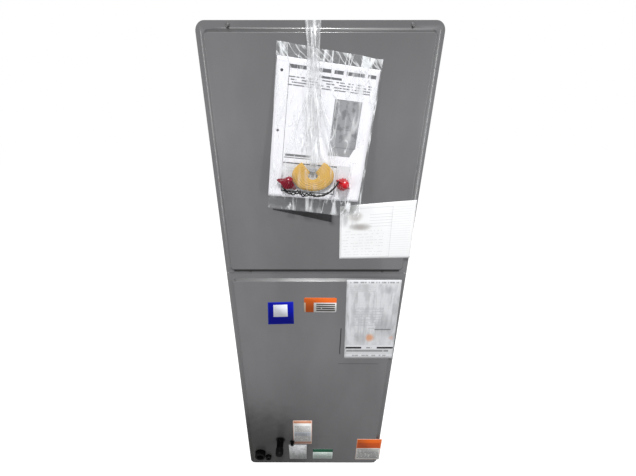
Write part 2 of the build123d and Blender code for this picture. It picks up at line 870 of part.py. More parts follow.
with BuildPart() as blower_side_right:
    with BuildSketch(facing_right(housing_half)):
        add(scroll_outline(housing_rim))
        with Locations((wheel_y, wheel_z)):
            RegularPolygon(inlet_radius + inlet_curl, inlet_sides, mode=Mode.SUBTRACT)
    extrude(amount=sheet)
    with BuildSketch(facing_right(housing_half + sheet, wheel_y, wheel_z)):
        RegularPolygon(inlet_radius + inlet_curl + sheet, inlet_sides)
    extrude(amount=-inlet_curl, taper=45)
    with BuildSketch(facing_right(housing_half + sheet, wheel_y, wheel_z)):
        RegularPolygon(inlet_radius + inlet_curl, inlet_sides)
    extrude(amount=-inlet_curl, taper=45, mode=Mode.SUBTRACT)
blower_side_right.part.label = "blower_side_right"
export_step(blower_side_right.part, "parts/blower_side_right.step")

with BuildPart() as blower_side_left:
    mirror(blower_side_right.part, about=Plane.YZ)
blower_side_left.part.label = "blower_side_left"
export_step(blower_side_left.part, "parts/blower_side_left.step")

with BuildPart() as blower_cutoff:
    with BuildSketch(facing_right(-housing_half)):
        with BuildLine():
            turn = tongue_angle - 90
            CenterArc((scroll_y, scroll_z), scroll_radius, 90, turn)
            outer_tongue = CenterArc((scroll_y, scroll_z), scroll_radius + sheet, 90, turn)
            tongue = radians(tongue_angle)
            Line(
                (scroll_y + scroll_radius * cos(tongue), scroll_z + scroll_radius * sin(tongue)),
                outer_tongue @ 1,
            )
            Line((scroll_y, scroll_z + scroll_radius), (scroll_y, scroll_z + scroll_radius + sheet))
        make_face()
        with Locations((scroll_y, scroll_z + scroll_radius + sheet / 2)):
            Rectangle(sheet, scroll_neck - sheet / 2, align=(Align.MIN, Align.MIN))
    extrude(amount=housing_width)
blower_cutoff.part.label = "blower_cutoff"
export_step(blower_cutoff.part, "parts/blower_cutoff.step")


def polar(radius, angle):
    return (radius * cos(radians(angle)), radius * sin(radians(angle)))


# Blower wheel: forward-curved blades between two end rings, carried by a middle disc and hub
with BuildSketch() as blade_section:
    middle = (blade_inner + blade_outer) / 2
    lag = degrees(blade_thickness / middle)
    hollow = blade_sweep / 2 - degrees(blade_bulge / middle)
    Polygon(
        polar(blade_inner, 0),
        polar(middle, hollow),
        polar(blade_outer, blade_sweep),
        polar(blade_outer, blade_sweep + lag),
        polar(middle, hollow + lag),
        polar(blade_inner, lag),
    )

with BuildPart() as blower_wheel:
    half_wheel = wheel_width / 2
    with BuildSketch(facing_right(-half_wheel, wheel_y, wheel_z)):
        with PolarLocations(0, blade_count):
            add(blade_section.sketch)
    extrude(amount=wheel_width)
    for start in (-half_wheel, half_wheel - wheel_ring):
        with BuildSketch(facing_right(start, wheel_y, wheel_z)):
            RegularPolygon(wheel_radius, 2 * blade_count)
            RegularPolygon(wheel_ring_inner, 2 * blade_count, mode=Mode.SUBTRACT)
        extrude(amount=wheel_ring)
    with BuildSketch(facing_right(-wheel_disc / 2, wheel_y, wheel_z)):
        RegularPolygon(blade_outer, blade_count)
    extrude(amount=wheel_disc)
    with BuildSketch(facing_right(-hub_length / 2, wheel_y, wheel_z)):
        RegularPolygon(hub_radius, 12)
    extrude(amount=hub_length)
    with BuildSketch(facing_right(-hub_length, wheel_y, wheel_z)):
        Circle(shaft_radius + shaft_play)
    extrude(amount=2 * hub_length, mode=Mode.SUBTRACT)
blower_wheel.part.label = "blower_wheel"
export_step(blower_wheel.part, "parts/blower_wheel.step")

motor_end = motor_start + motor_length

with BuildPart() as motor_shaft:
    with BuildSketch(facing_right(-hub_length / 2 - shaft_stub, wheel_y, wheel_z)):
        Circle(shaft_radius)
    extrude(amount=hub_length / 2 + shaft_stub + motor_end + bell_depth / 2)
motor_shaft.part.label = "motor_shaft"
export_step(motor_shaft.part, "parts/motor_shaft.step")

with BuildPart() as motor_shell:
    with BuildSketch(facing_right(motor_start, wheel_y, wheel_z)):
        RegularPolygon(motor_radius, round_sides)
        RegularPolygon(shaft_radius + fit_clear, 12, mode=Mode.SUBTRACT)
    extrude(amount=motor_length)
    with BuildSketch(facing_right(motor_start, wheel_y, wheel_z)):
        with PolarLocations(motor_radius, vent_count):
            Rectangle(*mount_arm, mode=Mode.ADD)
    extrude(amount=bell_depth, mode=Mode.SUBTRACT)
motor_shell.part.label = "motor_shell"
export_step(motor_shell.part, "parts/motor_shell.step")

with BuildPart() as motor_end_bells:
    for face, way in ((motor_start, -1), (motor_end, 1)):
        bell_plane = Plane(origin=(face, wheel_y, wheel_z), x_dir=(0, 1, 0), z_dir=(way, 0, 0))
        for reach, depth in ((motor_radius - fit_clear, bell_depth / 2), (motor_radius * bell_nose, bell_depth)):
            with BuildSketch(bell_plane):
                RegularPolygon(reach, round_sides)
            extrude(amount=depth)
        with BuildSketch(bell_plane):
            Circle(shaft_radius + shaft_play)
        extrude(amount=bell_depth, mode=Mode.SUBTRACT)
motor_end_bells.part.label = "motor_end_bells"
export_step(motor_end_bells.part, "parts/motor_end_bells.step")

with BuildPart() as motor_mount:
    band_start = housing_half + sheet + band_gap
    with BuildSketch(facing_right(band_start, wheel_y, wheel_z)):
        RegularPolygon(motor_radius + door_gap + mount_strap, round_sides)
        RegularPolygon(motor_radius + door_gap, round_sides, mode=Mode.SUBTRACT)
    extrude(amount=mount_width)
    arm_top = inlet_radius + inlet_curl + 2 * sheet
    arm_x = band_start + mount_width / 2
    for angle in (30, 150, 270):
        radial = Plane(
            origin=(0, wheel_y, wheel_z),
            x_dir=(1, 0, 0),
            z_dir=(0, -sin(radians(angle)), cos(radians(angle))),
        )
        with BuildSketch(radial):
            fold = [
                (arm_x, motor_radius + mount_strap / 2 + door_gap),
                (arm_x, arm_top + mount_strap),
                (housing_half + sheet, arm_top + mount_strap),
            ]
            Polygon(*bent_outline(fold, -mount_strap))
            with Locations((housing_half + sheet, arm_top)):
                Rectangle(mount_strap, arm_foot, align=(Align.MIN, Align.MIN))
        extrude(amount=arm_width / 2, both=True)
motor_mount.part.label = "motor_mount"
export_step(motor_mount.part, "parts/motor_mount.step")

# Controls: a tray in front of the heater section, with the electrical pieces on its back wall
tray_half = inner_half - tray_gap
tray_low = deck_height + sheet
tray_high = panel_top - tray_gap
tray_wall = case_front + tray_back - sheet
transformer_inset = 214.6
transformer_foot = 54.0
heater_opening_width = (
    2 * tray_half
    - plate_margin
    - 2 * plate_overlap
    - plate_clear
    - transformer_inset
    - transformer_foot / 2
)
heater_x = plate_margin + plate_overlap + heater_opening_width / 2 - tray_half

with BuildPart() as control_box:
    with BuildSketch(facing_front(case_front + tray_back)):
        with Locations((0, tray_low)):
            Rectangle(2 * tray_half, tray_high - tray_low, align=(Align.CENTER, Align.MIN))
    extrude(amount=tray_back - tray_front)
    with BuildSketch(facing_front(tray_wall)):
        with Locations((0, tray_low + sheet)):
            Rectangle(2 * (tray_half - sheet), tray_high - tray_low - 2 * sheet, align=(Align.CENTER, Align.MIN))
    extrude(amount=tray_back - tray_front, mode=Mode.SUBTRACT)
    with BuildSketch(facing_front(case_front + tray_back + sheet)):
        with Locations((heater_x, (tray_low + tray_high) / 2)):
            Rectangle(heater_opening_width, heater_opening_height)
    extrude(amount=3 * sheet, mode=Mode.SUBTRACT)
control_box.part.label = "control_box"
export_step(control_box.part, "parts/control_box.step")

with BuildPart() as heater_blank_plate:
    with BuildSketch(facing_front(tray_wall)):
        with Locations((heater_x, (tray_low + tray_high) / 2)):
            Rectangle(heater_opening_width + 2 * plate_overlap, heater_opening_height + 2 * plate_overlap)
    extrude(amount=sheet)
    with BuildSketch(facing_front(tray_wall - sheet)):
        with Locations((heater_x, (tray_low + tray_high) / 2)):
            with GridLocations(heater_opening_width + plate_overlap, heater_opening_height + plate_overlap, 2, 2):
                RegularPolygon(screw_hex, 6)
    extrude(amount=screw_head)
heater_blank_plate.part.label = "heater_blank_plate"
export_step(heater_blank_plate.part, "parts/heater_blank_plate.step")

transformer_x = tray_half - transformer_inset
transformer_z = tray_low + 50.0
transformer_core = (44.0, 50.0, 34.0)
transformer_coil = (32.0, 72.0, 22.0)
coil_setback = 6.0

with BuildPart() as transformer:
    with BuildSketch(facing_front(tray_wall)):
        with Locations((transformer_x, transformer_z)):
            Rectangle(transformer_foot, transformer_foot_height)
    extrude(amount=sheet)
    with BuildSketch(facing_front(tray_wall - sheet)):
        with Locations((transformer_x, transformer_z)):
            Rectangle(transformer_core[0], transformer_core[1])
    extrude(amount=transformer_core[2])
    with BuildSketch(facing_front(tray_wall - sheet - coil_setback)):
        with Locations((transformer_x, transformer_z)):
            Rectangle(transformer_coil[0], transformer_coil[1])
    extrude(amount=transformer_coil[2])
transformer.part.label = "transformer"
export_step(transformer.part, "parts/transformer.step")

board_x = tray_half - 139.6
board_z = tray_low + 60.0
board_size = (74.0, 92.0)
board_post = 8.0
board_leaf = 1.6
board_part = 18.0

with BuildPart() as control_board:
    with BuildSketch(facing_front(tray_wall)):
        with Locations((board_x, board_z)):
            with GridLocations(board_size[0] - board_hole_inset[0], board_size[1] - board_hole_inset[1], 2, 2):
                Rectangle(board_post_width, board_post_width)
    extrude(amount=board_post)
    with BuildSketch(facing_front(tray_wall - board_post)):
        with Locations((board_x, board_z)):
            Rectangle(board_size[0], board_size[1])
    extrude(amount=board_leaf)
    with BuildSketch(facing_front(tray_wall - board_post - board_leaf)):
        with Locations((board_x - 16, board_z + 18), (board_x + 14, board_z + 18)):
            Rectangle(*board_relay)
        with Locations((board_x, board_z - 34)):
            Rectangle(*board_connector)
    extrude(amount=board_part)
control_board.part.label = "control_board"
export_step(control_board.part, "parts/control_board.step")

block_x = tray_half - 79.6
block_z = tray_low + 130.0
block_size = (70.0, 32.0, 16.0)
block_rib = 9.0
block_pitch = 22.0

with BuildPart() as terminal_block:
    with BuildSketch(facing_front(tray_wall)):
        with Locations((block_x, block_z)):
            Rectangle(block_size[0], block_size[1])
    extrude(amount=block_size[2])
    with BuildSketch(facing_front(tray_wall - block_size[2])):
        with Locations((block_x, block_z)):
            with GridLocations(block_pitch, 1.0, 4, 1):
                Rectangle(block_rib_width, block_size[1])
    extrude(amount=block_rib)
    with BuildSketch(facing_front(tray_wall - block_size[2])):
        with Locations((block_x, block_z)):
            with GridLocations(block_pitch, 1.0, 3, 1):
                RegularPolygon(block_screw_radius, 6)
    extrude(amount=block_screw_height)
terminal_block.part.label = "terminal_block"
export_step(terminal_block.part, "parts/terminal_block.step")

capacitor_x = tray_half - 57.6
capacitor_y = tray_wall - capacitor_radius - capacitor_wall_gap

with BuildPart() as run_capacitor:
    with BuildSketch(Plane.XY.offset(tray_low + sheet)):
        with Locations((capacitor_x, capacitor_y)):
            RegularPolygon(capacitor_radius, capacitor_sides)
    extrude(amount=capacitor_height)
    with BuildSketch(Plane.XY.offset(tray_low + sheet + capacitor_height)):
        with Locations((capacitor_x, capacitor_y)):
            with PolarLocations(terminal_circle, 3):
                Rectangle(*terminal_blade)
    extrude(amount=terminal_height)
run_capacitor.part.label = "run_capacitor"
export_step(run_capacitor.part, "parts/run_capacitor.step")

with BuildPart() as capacitor_strap:
    with BuildSketch(Plane.XY.offset(tray_low + sheet + capacitor_height * 0.4)):
        with Locations((capacitor_x, capacitor_y)):
            RegularPolygon(capacitor_radius + door_gap + sheet, capacitor_sides)
        with Locations((capacitor_x, tray_wall)):
            Rectangle(2 * (capacitor_radius + strap_ear), sheet, align=(Align.CENTER, Align.MAX))
        with Locations((capacitor_x, capacitor_y)):
            RegularPolygon(capacitor_radius + door_gap, capacitor_sides, mode=Mode.SUBTRACT)
    extrude(amount=strap_height)
capacitor_strap.part.label = "capacitor_strap"
export_step(capacitor_strap.part, "parts/capacitor_strap.step")

# Door switch: its sprung button stands just off the inside of the upper door
switch_x = tray_half - sheet - switch_width / 2
switch_front = case_front + switch_setback
plunger_tip = field_face + sheet + door_gap
plunger_root = plunger_tip + plunger_length

with BuildPart() as door_switch:
    with BuildSketch(facing_front(switch_front + switch_depth)):
        with Locations((switch_x, switch_z)):
            Rectangle(switch_width, switch_height)
    extrude(amount=switch_depth)
    with BuildSketch(facing_front(switch_front)):
        with Locations((switch_x, switch_z)):
            RegularPolygon(plunger_radius + door_gap, 8)
    extrude(amount=-(plunger_root + plunger_travel + fit_clear - switch_front), mode=Mode.SUBTRACT)
door_switch.part.label = "door_switch"
export_step(door_switch.part, "parts/door_switch.step")

with BuildPart() as switch_plunger:
    with BuildSketch(facing_front(plunger_root)):
        with Locations((switch_x, switch_z)):
            RegularPolygon(plunger_radius, 8)
    extrude(amount=plunger_length)
    chamfer(switch_plunger.faces().sort_by(Axis.Y)[0].edges(), 1.0)
switch_plunger.part.label = "switch_plunger"
export_step(switch_plunger.part, "parts/switch_plunger.step")


# Doors: flanged pans with a raised field, square at the seam and round at their outer corners
def door_outline(low, high, trim, rounded_top):
    with BuildSketch() as outline:
        with Locations((0, low + (0 if rounded_top else trim))):
            Rectangle(door_width - 2 * trim, high - low - trim, align=(Align.CENTER, Align.MIN))
        rows = outline.vertices().group_by(Axis.Y)
        fillet(rows[-1] if rounded_top else rows[0], door_corner - trim)
    return outline.sketch


def field_outline(low, high, sill, head, trim):
    with BuildSketch() as field:
        with Locations((0, low + sill + trim)):
            Rectangle(
                door_width - 2 * (side_flange + trim),
                high - low - sill - head - 2 * trim,
                align=(Align.CENTER, Align.MIN),
            )
        fillet(field.vertices(), field_corner - trim)
    return field.sketch


def door_pan(low, high, lip_low, lip_high, rounded_top):
    # The flat flange with its bent-back edges, before the field is raised
    with BuildPart() as pan:
        with BuildSketch(facing_front(door_face + sheet)):
            add(door_outline(low, high, 0, rounded_top))
        extrude(amount=sheet)
        with BuildSketch(facing_front(door_face + door_lip)):
            with Locations((0, lip_low)):
                Rectangle(2 * door_width, lip_high - lip_low, align=(Align.CENTER, Align.MIN))
            add(door_outline(low, high, 0, rounded_top), mode=Mode.INTERSECT)
            add(door_outline(low, high, sheet, rounded_top), mode=Mode.SUBTRACT)
        extrude(amount=door_lip)
    return pan.part


def raised_field(low, high, sill, head):
    with BuildPart() as raised:
        with BuildSketch(facing_front(door_face)):
            add(field_outline(low, high, sill, head, 0))
        extrude(amount=field_rise, taper=bevel_angle)
        fillet(raised.faces().sort_by(Axis.Y)[0].edges(), field_edge_radius)
    return raised.part


def field_hollow(low, high, sill, head):
    with BuildPart() as hollow:
        with BuildSketch(facing_front(door_face + sheet)):
            add(field_outline(low, high, sill, head, pan_inset))
        extrude(amount=field_rise, taper=bevel_angle)
    return hollow.part


upper_low = seam_height + seam_gap / 2
lower_high = seam_height - seam_gap / 2
seam_screw_z = upper_low + seam_screw_rise
upper_screws = (
    (-top_screw_x, door_top - top_screw_drop),
    (top_screw_x, door_top - top_screw_drop),
    (-seam_screw_x, seam_screw_z),
    (seam_screw_x, seam_screw_z),
)
lower_screws = (
    (-top_screw_x, door_bottom + foot_screw_rise),
    (top_screw_x, door_bottom + foot_screw_rise),
)
lip_clear = 10.0

with BuildPart() as upper_door_panel:
    add(door_pan(upper_low, door_top, upper_low + lip_clear, door_top - door_corner, True))
    add(raised_field(upper_low, door_top, upper_sill, top_flange))
    add(field_hollow(upper_low, door_top, upper_sill, top_flange), mode=Mode.SUBTRACT)
    with BuildSketch(facing_front(door_face + 2 * sheet)):
        with Locations(*upper_screws):
            RegularPolygon(screw_hole, 6)
    extrude(amount=3 * sheet, mode=Mode.SUBTRACT)
upper_door_panel.part.label = "upper_door_panel"
export_step(upper_door_panel.part, "parts/upper_door_panel.step")

# Each line or outlet that passes through the lower door, with the radius of its hole
door_passages = (
    (suction_x, suction_z, suction_grommet_radius + door_hole_clear),
    (liquid_x, liquid_z, liquid_grommet_radius + door_hole_clear),
    (drain_x, drain_z, drain_collar + hole_play),
    (plug_x, plug_z, plug_radius + hole_play),
)

with BuildPart() as lower_door_panel:
    add(door_pan(door_bottom, lower_high, door_bottom + door_corner, lower_high - lip_clear, False))
    add(raised_field(door_bottom, lower_high, lower_sill, lower_head))
    add(field_hollow(door_bottom, lower_high, lower_sill, lower_head), mode=Mode.SUBTRACT)
    with BuildSketch(facing_front(door_face + 2 * sheet)):
        with Locations(*lower_screws):
            RegularPolygon(screw_hole, 6)
        for x, z, radius in door_passages:
            with Locations((x, z)):
                Circle(radius)
    extrude(amount=2 * field_rise, mode=Mode.SUBTRACT)
lower_door_panel.part.label = "lower_door_panel"
export_step(lower_door_panel.part, "parts/lower_door_panel.step")

# Insulation boards behind the raised fields
board_half = case_half - case_flange - board_side_gap
board_back = field_face + sheet + liner
switch_clear = switch_height / 2 + fit_clear

with BuildPart() as upper_door_insulation:
    with BuildSketch(facing_front(board_back)):
        with Locations((0, seam_height + rail_height / 2 + board_side_gap)):
            Rectangle(
                2 * board_half,
                switch_z - switch_clear - seam_height - rail_height / 2 - board_side_gap,
                align=(Align.CENTER, Align.MIN),
            )
    extrude(amount=liner)
upper_door_insulation.part.label = "upper_door_insulation"
export_step(upper_door_insulation.part, "parts/upper_door_insulation.step")

with BuildPart() as lower_door_insulation:
    board_low = door_bottom + lower_sill + field_bevel + board_foot_gap
    with BuildSketch(facing_front(board_back)):
        with Locations((0, board_low)):
            Rectangle(
                2 * board_half,
                seam_height - rail_height / 2 - board_side_gap - board_low,
                align=(Align.CENTER, Align.MIN),
            )
        for x, z, radius in door_passages:
            with Locations((x, z)):
                RegularPolygon(radius + hole_play, 12, major_radius=False, mode=Mode.SUBTRACT)
    extrude(amount=liner)
lower_door_insulation.part.label = "lower_door_insulation"
export_step(lower_door_insulation.part, "parts/lower_door_insulation.step")


# Hex-headed sheet-metal screws with a washer face
def hex_screws(places, plane):
    with BuildPart() as screws:
        with BuildSketch(plane):
            with Locations(*places):
                RegularPolygon(screw_washer_radius, 12)
        extrude(amount=screw_washer)
        with BuildSketch(plane):
            with Locations(*places):
                RegularPolygon(screw_hex, 6)
        extrude(amount=screw_head)
        with BuildSketch(plane):
            with Locations(*places):
                RegularPolygon(screw_shank, 6)
        extrude(amount=-screw_length)
    return screws.part


with BuildPart() as upper_door_screws:
    add(hex_screws(upper_screws, facing_front(door_face)))
upper_door_screws.part.label = "upper_door_screws"
export_step(upper_door_screws.part, "parts/upper_door_screws.step")

with BuildPart() as lower_door_screws:
    add(hex_screws(lower_screws, facing_front(door_face)))
lower_door_screws.part.label = "lower_door_screws"
export_step(lower_door_screws.part, "parts/lower_door_screws.step")

# Clear envelope with the unit's papers and small parts, hung on the upper door by a strip of tape
tilt = radians(bag_tilt)
across = Vector(cos(tilt), 0, sin(tilt))
down = Vector(sin(tilt), 0, -cos(tilt))
bag_corner = Vector(bag_corner_x, field_face - soft_gap, bag_corner_z)
bag_side = Plane(origin=bag_corner, x_dir=down, z_dir=across)
bag_belly = bag_height * bag_belly_share

with BuildPart() as literature_bag:
    with BuildSketch(bag_side):
        Polygon(
            (0, 0),
            (0, -bag_top_thickness),
            (bag_belly, -bag_bottom_thickness),
            (bag_height, -bag_bottom_thickness),
            (bag_height, 0),
        )
    extrude(amount=bag_width)
    with BuildSketch(bag_side.offset(bag_film)):
        Polygon(
            (bag_film, -bag_film),
            (bag_film, -bag_top_thickness + bag_film),
            (bag_belly, -bag_bottom_thickness + bag_film),
            (bag_height - bag_film, -bag_bottom_thickness + bag_film),
            (bag_height - bag_film, -bag_film),
        )
    extrude(amount=bag_width - 2 * bag_film, mode=Mode.SUBTRACT)
literature_bag.part.label = "literature_bag"
export_step(literature_bag.part, "parts/literature_bag.step")

paper_start = bag_film + soft_gap
with BuildPart() as instruction_sheets:
    with BuildSketch(bag_side.offset((bag_width - paper_width) / 2)):
        Polygon(
            (paper_drop, -paper_start),
            (paper_drop, -paper_start - paper_thickness),
            (paper_drop + paper_height, -paper_start - paper_thickness - paper_lean),
            (paper_drop + paper_height, -paper_start - paper_lean),
        )
    extrude(amount=paper_width)
instruction_sheets.part.label = "instruction_sheets"
export_step(instruction_sheets.part, "parts/instruction_sheets.step")

strip_across = 109.0
strip_from_foot = 60.0
strip_down = paper_drop + paper_height - strip_from_foot
strip_outer = 41.0
strip_inner = 15.0
strip_mouth = 32.0
strip_depth = 8.0
strip_lean = paper_lean * (strip_down + strip_outer - paper_drop) / paper_height
paper_front = field_face - 2 * soft_gap - paper_start - paper_thickness - strip_lean
strip_centre = bag_corner + across * strip_across + down * strip_down

with BuildPart() as sealing_strip:
    with BuildSketch(facing_front(paper_front)):
        with Locations((strip_centre.X, strip_centre.Z)):
            RegularPolygon(strip_outer, round_sides)
            RegularPolygon(strip_inner, round_sides, mode=Mode.SUBTRACT)
            with Locations((0, strip_outer)):
                Rectangle(strip_mouth, 2 * strip_outer, mode=Mode.SUBTRACT)
    extrude(amount=strip_depth)
sealing_strip.part.label = "sealing_strip"
export_step(sealing_strip.part, "parts/sealing_strip.step")

cap_base = 5.0
cap_length = 28.0
cap_apart_left = 56.0
cap_apart_right = 76.0
cap_y = field_face - bag_bottom_thickness + bag_film + cap_base

with BuildPart() as wire_caps:
    for across_mm, down_mm, lean in (
        (strip_across - cap_apart_left, strip_down + 35.0, 12.0),
        (strip_across + cap_apart_right, strip_down + 25.0, -8.0),
    ):
        cap_place = bag_corner + across * across_mm + down * down_mm
        cap_plane = Plane(
            origin=(cap_place.X, cap_y, cap_place.Z),
            z_dir=(sin(radians(lean)), 0, cos(radians(lean))),
        )
        with BuildSketch(cap_plane):
            RegularPolygon(cap_base, 10)
        extrude(amount=cap_length, taper=6)
wire_caps.part.label = "wire_caps"
export_step(wire_caps.part, "parts/wire_caps.step")

with BuildPart() as hanging_tape:
    with BuildSketch(facing_right(tape_x - tape_width / 2)):
        hang_z = bag_corner_z + (tape_x - tape_width / 2 - bag_corner_x) * tan(tilt)
        bag_face = field_face - 2 * soft_gap
        fold = [
            (bag_face - bag_bottom_thickness, tape_bottom),
            (bag_face - bag_bottom_thickness, hang_z - bag_belly),
            (bag_face - bag_top_thickness, hang_z + tape_over_bag),
            (bag_face, hang_z + tape_meets_door),
            (bag_face, door_top - top_flange - field_bevel + fit_clear),
            (door_face - 2 * soft_gap, door_top - top_flange + tape_over_bend),
            (door_face - 2 * soft_gap, door_top - tape_end_gap),
        ]
        Polygon(*bent_outline(fold, tape_thickness))
    extrude(amount=tape_width)
hanging_tape.part.label = "hanging_tape"
export_step(hanging_tape.part, "parts/hanging_tape.step")
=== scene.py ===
import math
import bpy
import bmesh
from mathutils import Matrix, Vector, noise


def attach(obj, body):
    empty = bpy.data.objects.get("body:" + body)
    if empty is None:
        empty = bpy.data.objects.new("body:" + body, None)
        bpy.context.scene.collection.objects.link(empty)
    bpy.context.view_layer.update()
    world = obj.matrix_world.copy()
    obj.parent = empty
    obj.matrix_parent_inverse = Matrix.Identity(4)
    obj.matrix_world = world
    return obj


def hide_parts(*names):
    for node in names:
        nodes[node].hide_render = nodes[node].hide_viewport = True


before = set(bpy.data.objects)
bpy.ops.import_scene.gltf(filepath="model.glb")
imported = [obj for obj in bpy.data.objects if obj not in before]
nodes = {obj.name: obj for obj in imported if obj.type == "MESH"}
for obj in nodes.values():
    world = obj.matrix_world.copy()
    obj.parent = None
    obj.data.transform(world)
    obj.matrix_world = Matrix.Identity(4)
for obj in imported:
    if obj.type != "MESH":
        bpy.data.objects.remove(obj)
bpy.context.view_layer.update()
mm = 0.001
toFront, toBack, toTop, toRight = (0, -1, 0), (0, 1, 0), (0, 0, 1), (1, 0, 0)

# planes of the cabinet, in millimetres
front = {"doorFace": -236.25, "fieldFace": -244.25, "caseBack": 300.25, "half": 244.0}

camera = {"spot": (-25.3, -974.95, 1335.5), "tilt": 64.67, "turn": 0.09, "lens": 17.38, "sensor": 36,
          "shift": (0.0173, 0.0063), "near": 0.02}

sky = {"level": 0.2, "shine": 0.6}
lamps = {
    "keyLight": {"spot": (120, -2400, 4600), "aim": (0, -240, 950), "size": (0.5, 0.5), "power": 172},
    "leftLight": {"spot": (-1500, -1250, 1050), "aim": (0, -240, 650), "size": (0.25, 1.6), "power": 12},
    "rightLight": {"spot": (1500, -1250, 1050), "aim": (0, -240, 650), "size": (0.25, 1.6), "power": 13},
    "rearLight": {"spot": (700, 1900, 2200), "aim": (0, 200, 800), "size": (1.2, 1.2), "power": 22},
}


class Wire:
    # one output socket, so that shader maths reads as plain sums
    def __init__(self, shading, socket):
        self.shading = shading
        self.socket = socket

    def math(self, operation, first, second=0.0):
        return self.shading.node("ShaderNodeMath", {"operation": operation}, {0: first, 1: second})

    def __add__(self, other):
        return self.math("ADD", self, other)

    def __sub__(self, other):
        return self.math("SUBTRACT", self, other)

    def __rsub__(self, other):
        return self.math("SUBTRACT", other, self)

    def __mul__(self, other):
        return self.math("MULTIPLY", self, other)

    def __gt__(self, other):
        return self.math("GREATER_THAN", self, other)

    def __lt__(self, other):
        return self.math("LESS_THAN", self, other)

    __radd__ = __add__
    __rmul__ = __mul__

    def floor(self):
        return self.math("FLOOR", self)

    def part(self):
        return self.math("FRACT", self)

    def size(self):
        return self.math("ABSOLUTE", self)

    def soft(self, low, high):
        settings = {"interpolation_type": "SMOOTHSTEP"}
        return self.shading.node("ShaderNodeMapRange", settings, {0: self, 1: low, 2: high})


class Shading:
    # a node tree round one shader, with the node helpers that the finishes share
    def __init__(self, owner, shader):
        owner.use_nodes = True
        self.tree = owner.node_tree
        self.shader = self.tree.nodes[shader]

    def set(self, socket, value):
        self.shader.inputs[socket].default_value = value

    def feed(self, socket, wire):
        self.tree.links.new(wire.socket, self.shader.inputs[socket])

    def node(self, kind, settings, inputs, out=0):
        made = self.tree.nodes.new(kind)
        for key, value in settings.items():
            setattr(made, key, value)
        for key, value in inputs.items():
            if isinstance(value, Wire):
                self.tree.links.new(value.socket, made.inputs[key])
            else:
                made.inputs[key].default_value = value
        return Wire(self, made.outputs[out])

    def ray(self, kind):
        return self.node("ShaderNodeLightPath", {}, {}, f"Is {kind} Ray")

    def printMap(self):
        return self.node("ShaderNodeUVMap", {"uv_map": "print"}, {})

    def mapped(self, base, settings=None, **inputs):
        return self.node("ShaderNodeMapping", settings or {}, {"Vector": base, **inputs})

    def spot(self, stretch=(1, 1, 1)):
        return self.mapped(self.node("ShaderNodeTexCoord", {}, {}, "Object"), Scale=stretch)

    def noise(self, scale, detail=3.0, stretch=(1, 1, 1), vector=None):
        vector = vector or self.spot(stretch)
        return self.node("ShaderNodeTexNoise", {}, {"Vector": vector, "Scale": scale, "Detail": detail})

    def axes(self, vector):
        return [self.node("ShaderNodeSeparateXYZ", {}, {0: vector}, axis) for axis in "XYZ"]

    def mix(self, factor, first, second):
        first = first if isinstance(first, Wire) else (*first, 1)
        second = second if isinstance(second, Wire) else (*second, 1)
        return self.node("ShaderNodeMix", {"data_type": "RGBA"}, {0: factor, 6: first, 7: second}, 2)

    def bump(self, height, strength, distance):
        inputs = {"Height": height, "Strength": strength, "Distance": distance}
        self.feed("Normal", self.node("ShaderNodeBump", {}, inputs))


class Finish(Shading):
    # a material on one Principled shader
    def __init__(self, name, color, roughness, metallic=0.0, **sockets):
        self.material = bpy.data.materials.new(name)
        super().__init__(self.material, "Principled BSDF")
        self.material.diffuse_color = (*color, 1)
        self.set("Base Color", (*color, 1))
        self.set("Roughness", roughness)
        self.set("Metallic", metallic)
        for socket, value in sockets.items():
            self.set(socket.replace("_", " "), value)

    def dress(self, share, first, second, relief, rough=None):
        # mixes the base colour, roughens the surface and raises a relief of (height, strength, distance)
        self.feed("Base Color", self.mix(share, first, second))
        if rough:
            self.feed("Roughness", rough)
        self.bump(*relief)
        return self.material


def srgb(red, green, blue):
    # colours are noted as they look on screen and used as the shader wants them
    return tuple(((c / 255 + 0.055) / 1.055) ** 2.4 if c > 10 else c / 255 / 12.92
                 for c in (red, green, blue))


def shaded(color, share, lift=0.0):
    return tuple(min(1, c * share + lift) for c in color)


# where the cabinet's paint is marked or darkened, and where painted shade and a painted shadow line fall, in
# metres
soilAndShade = {
    "frontOf": -0.2, "footTop": 0.6, "headFrom": 1.25, "headTop": 1.48, "slopeTop": 1.465,
    "lineLow": (0.8935, 0.8965), "lineHigh": 0.906, "lineHalf": 0.229,
    "holeDarkeningX": -0.2, "holeDarkeningZ": 0.1, "markHalf": 0.0016,
    "scratchX": 0.079, "scratchLow": 0.594, "scratchHigh": 0.70,
    "scuffZ": 0.556, "scuffLeft": 0.074, "scuffRight": 0.205,
}


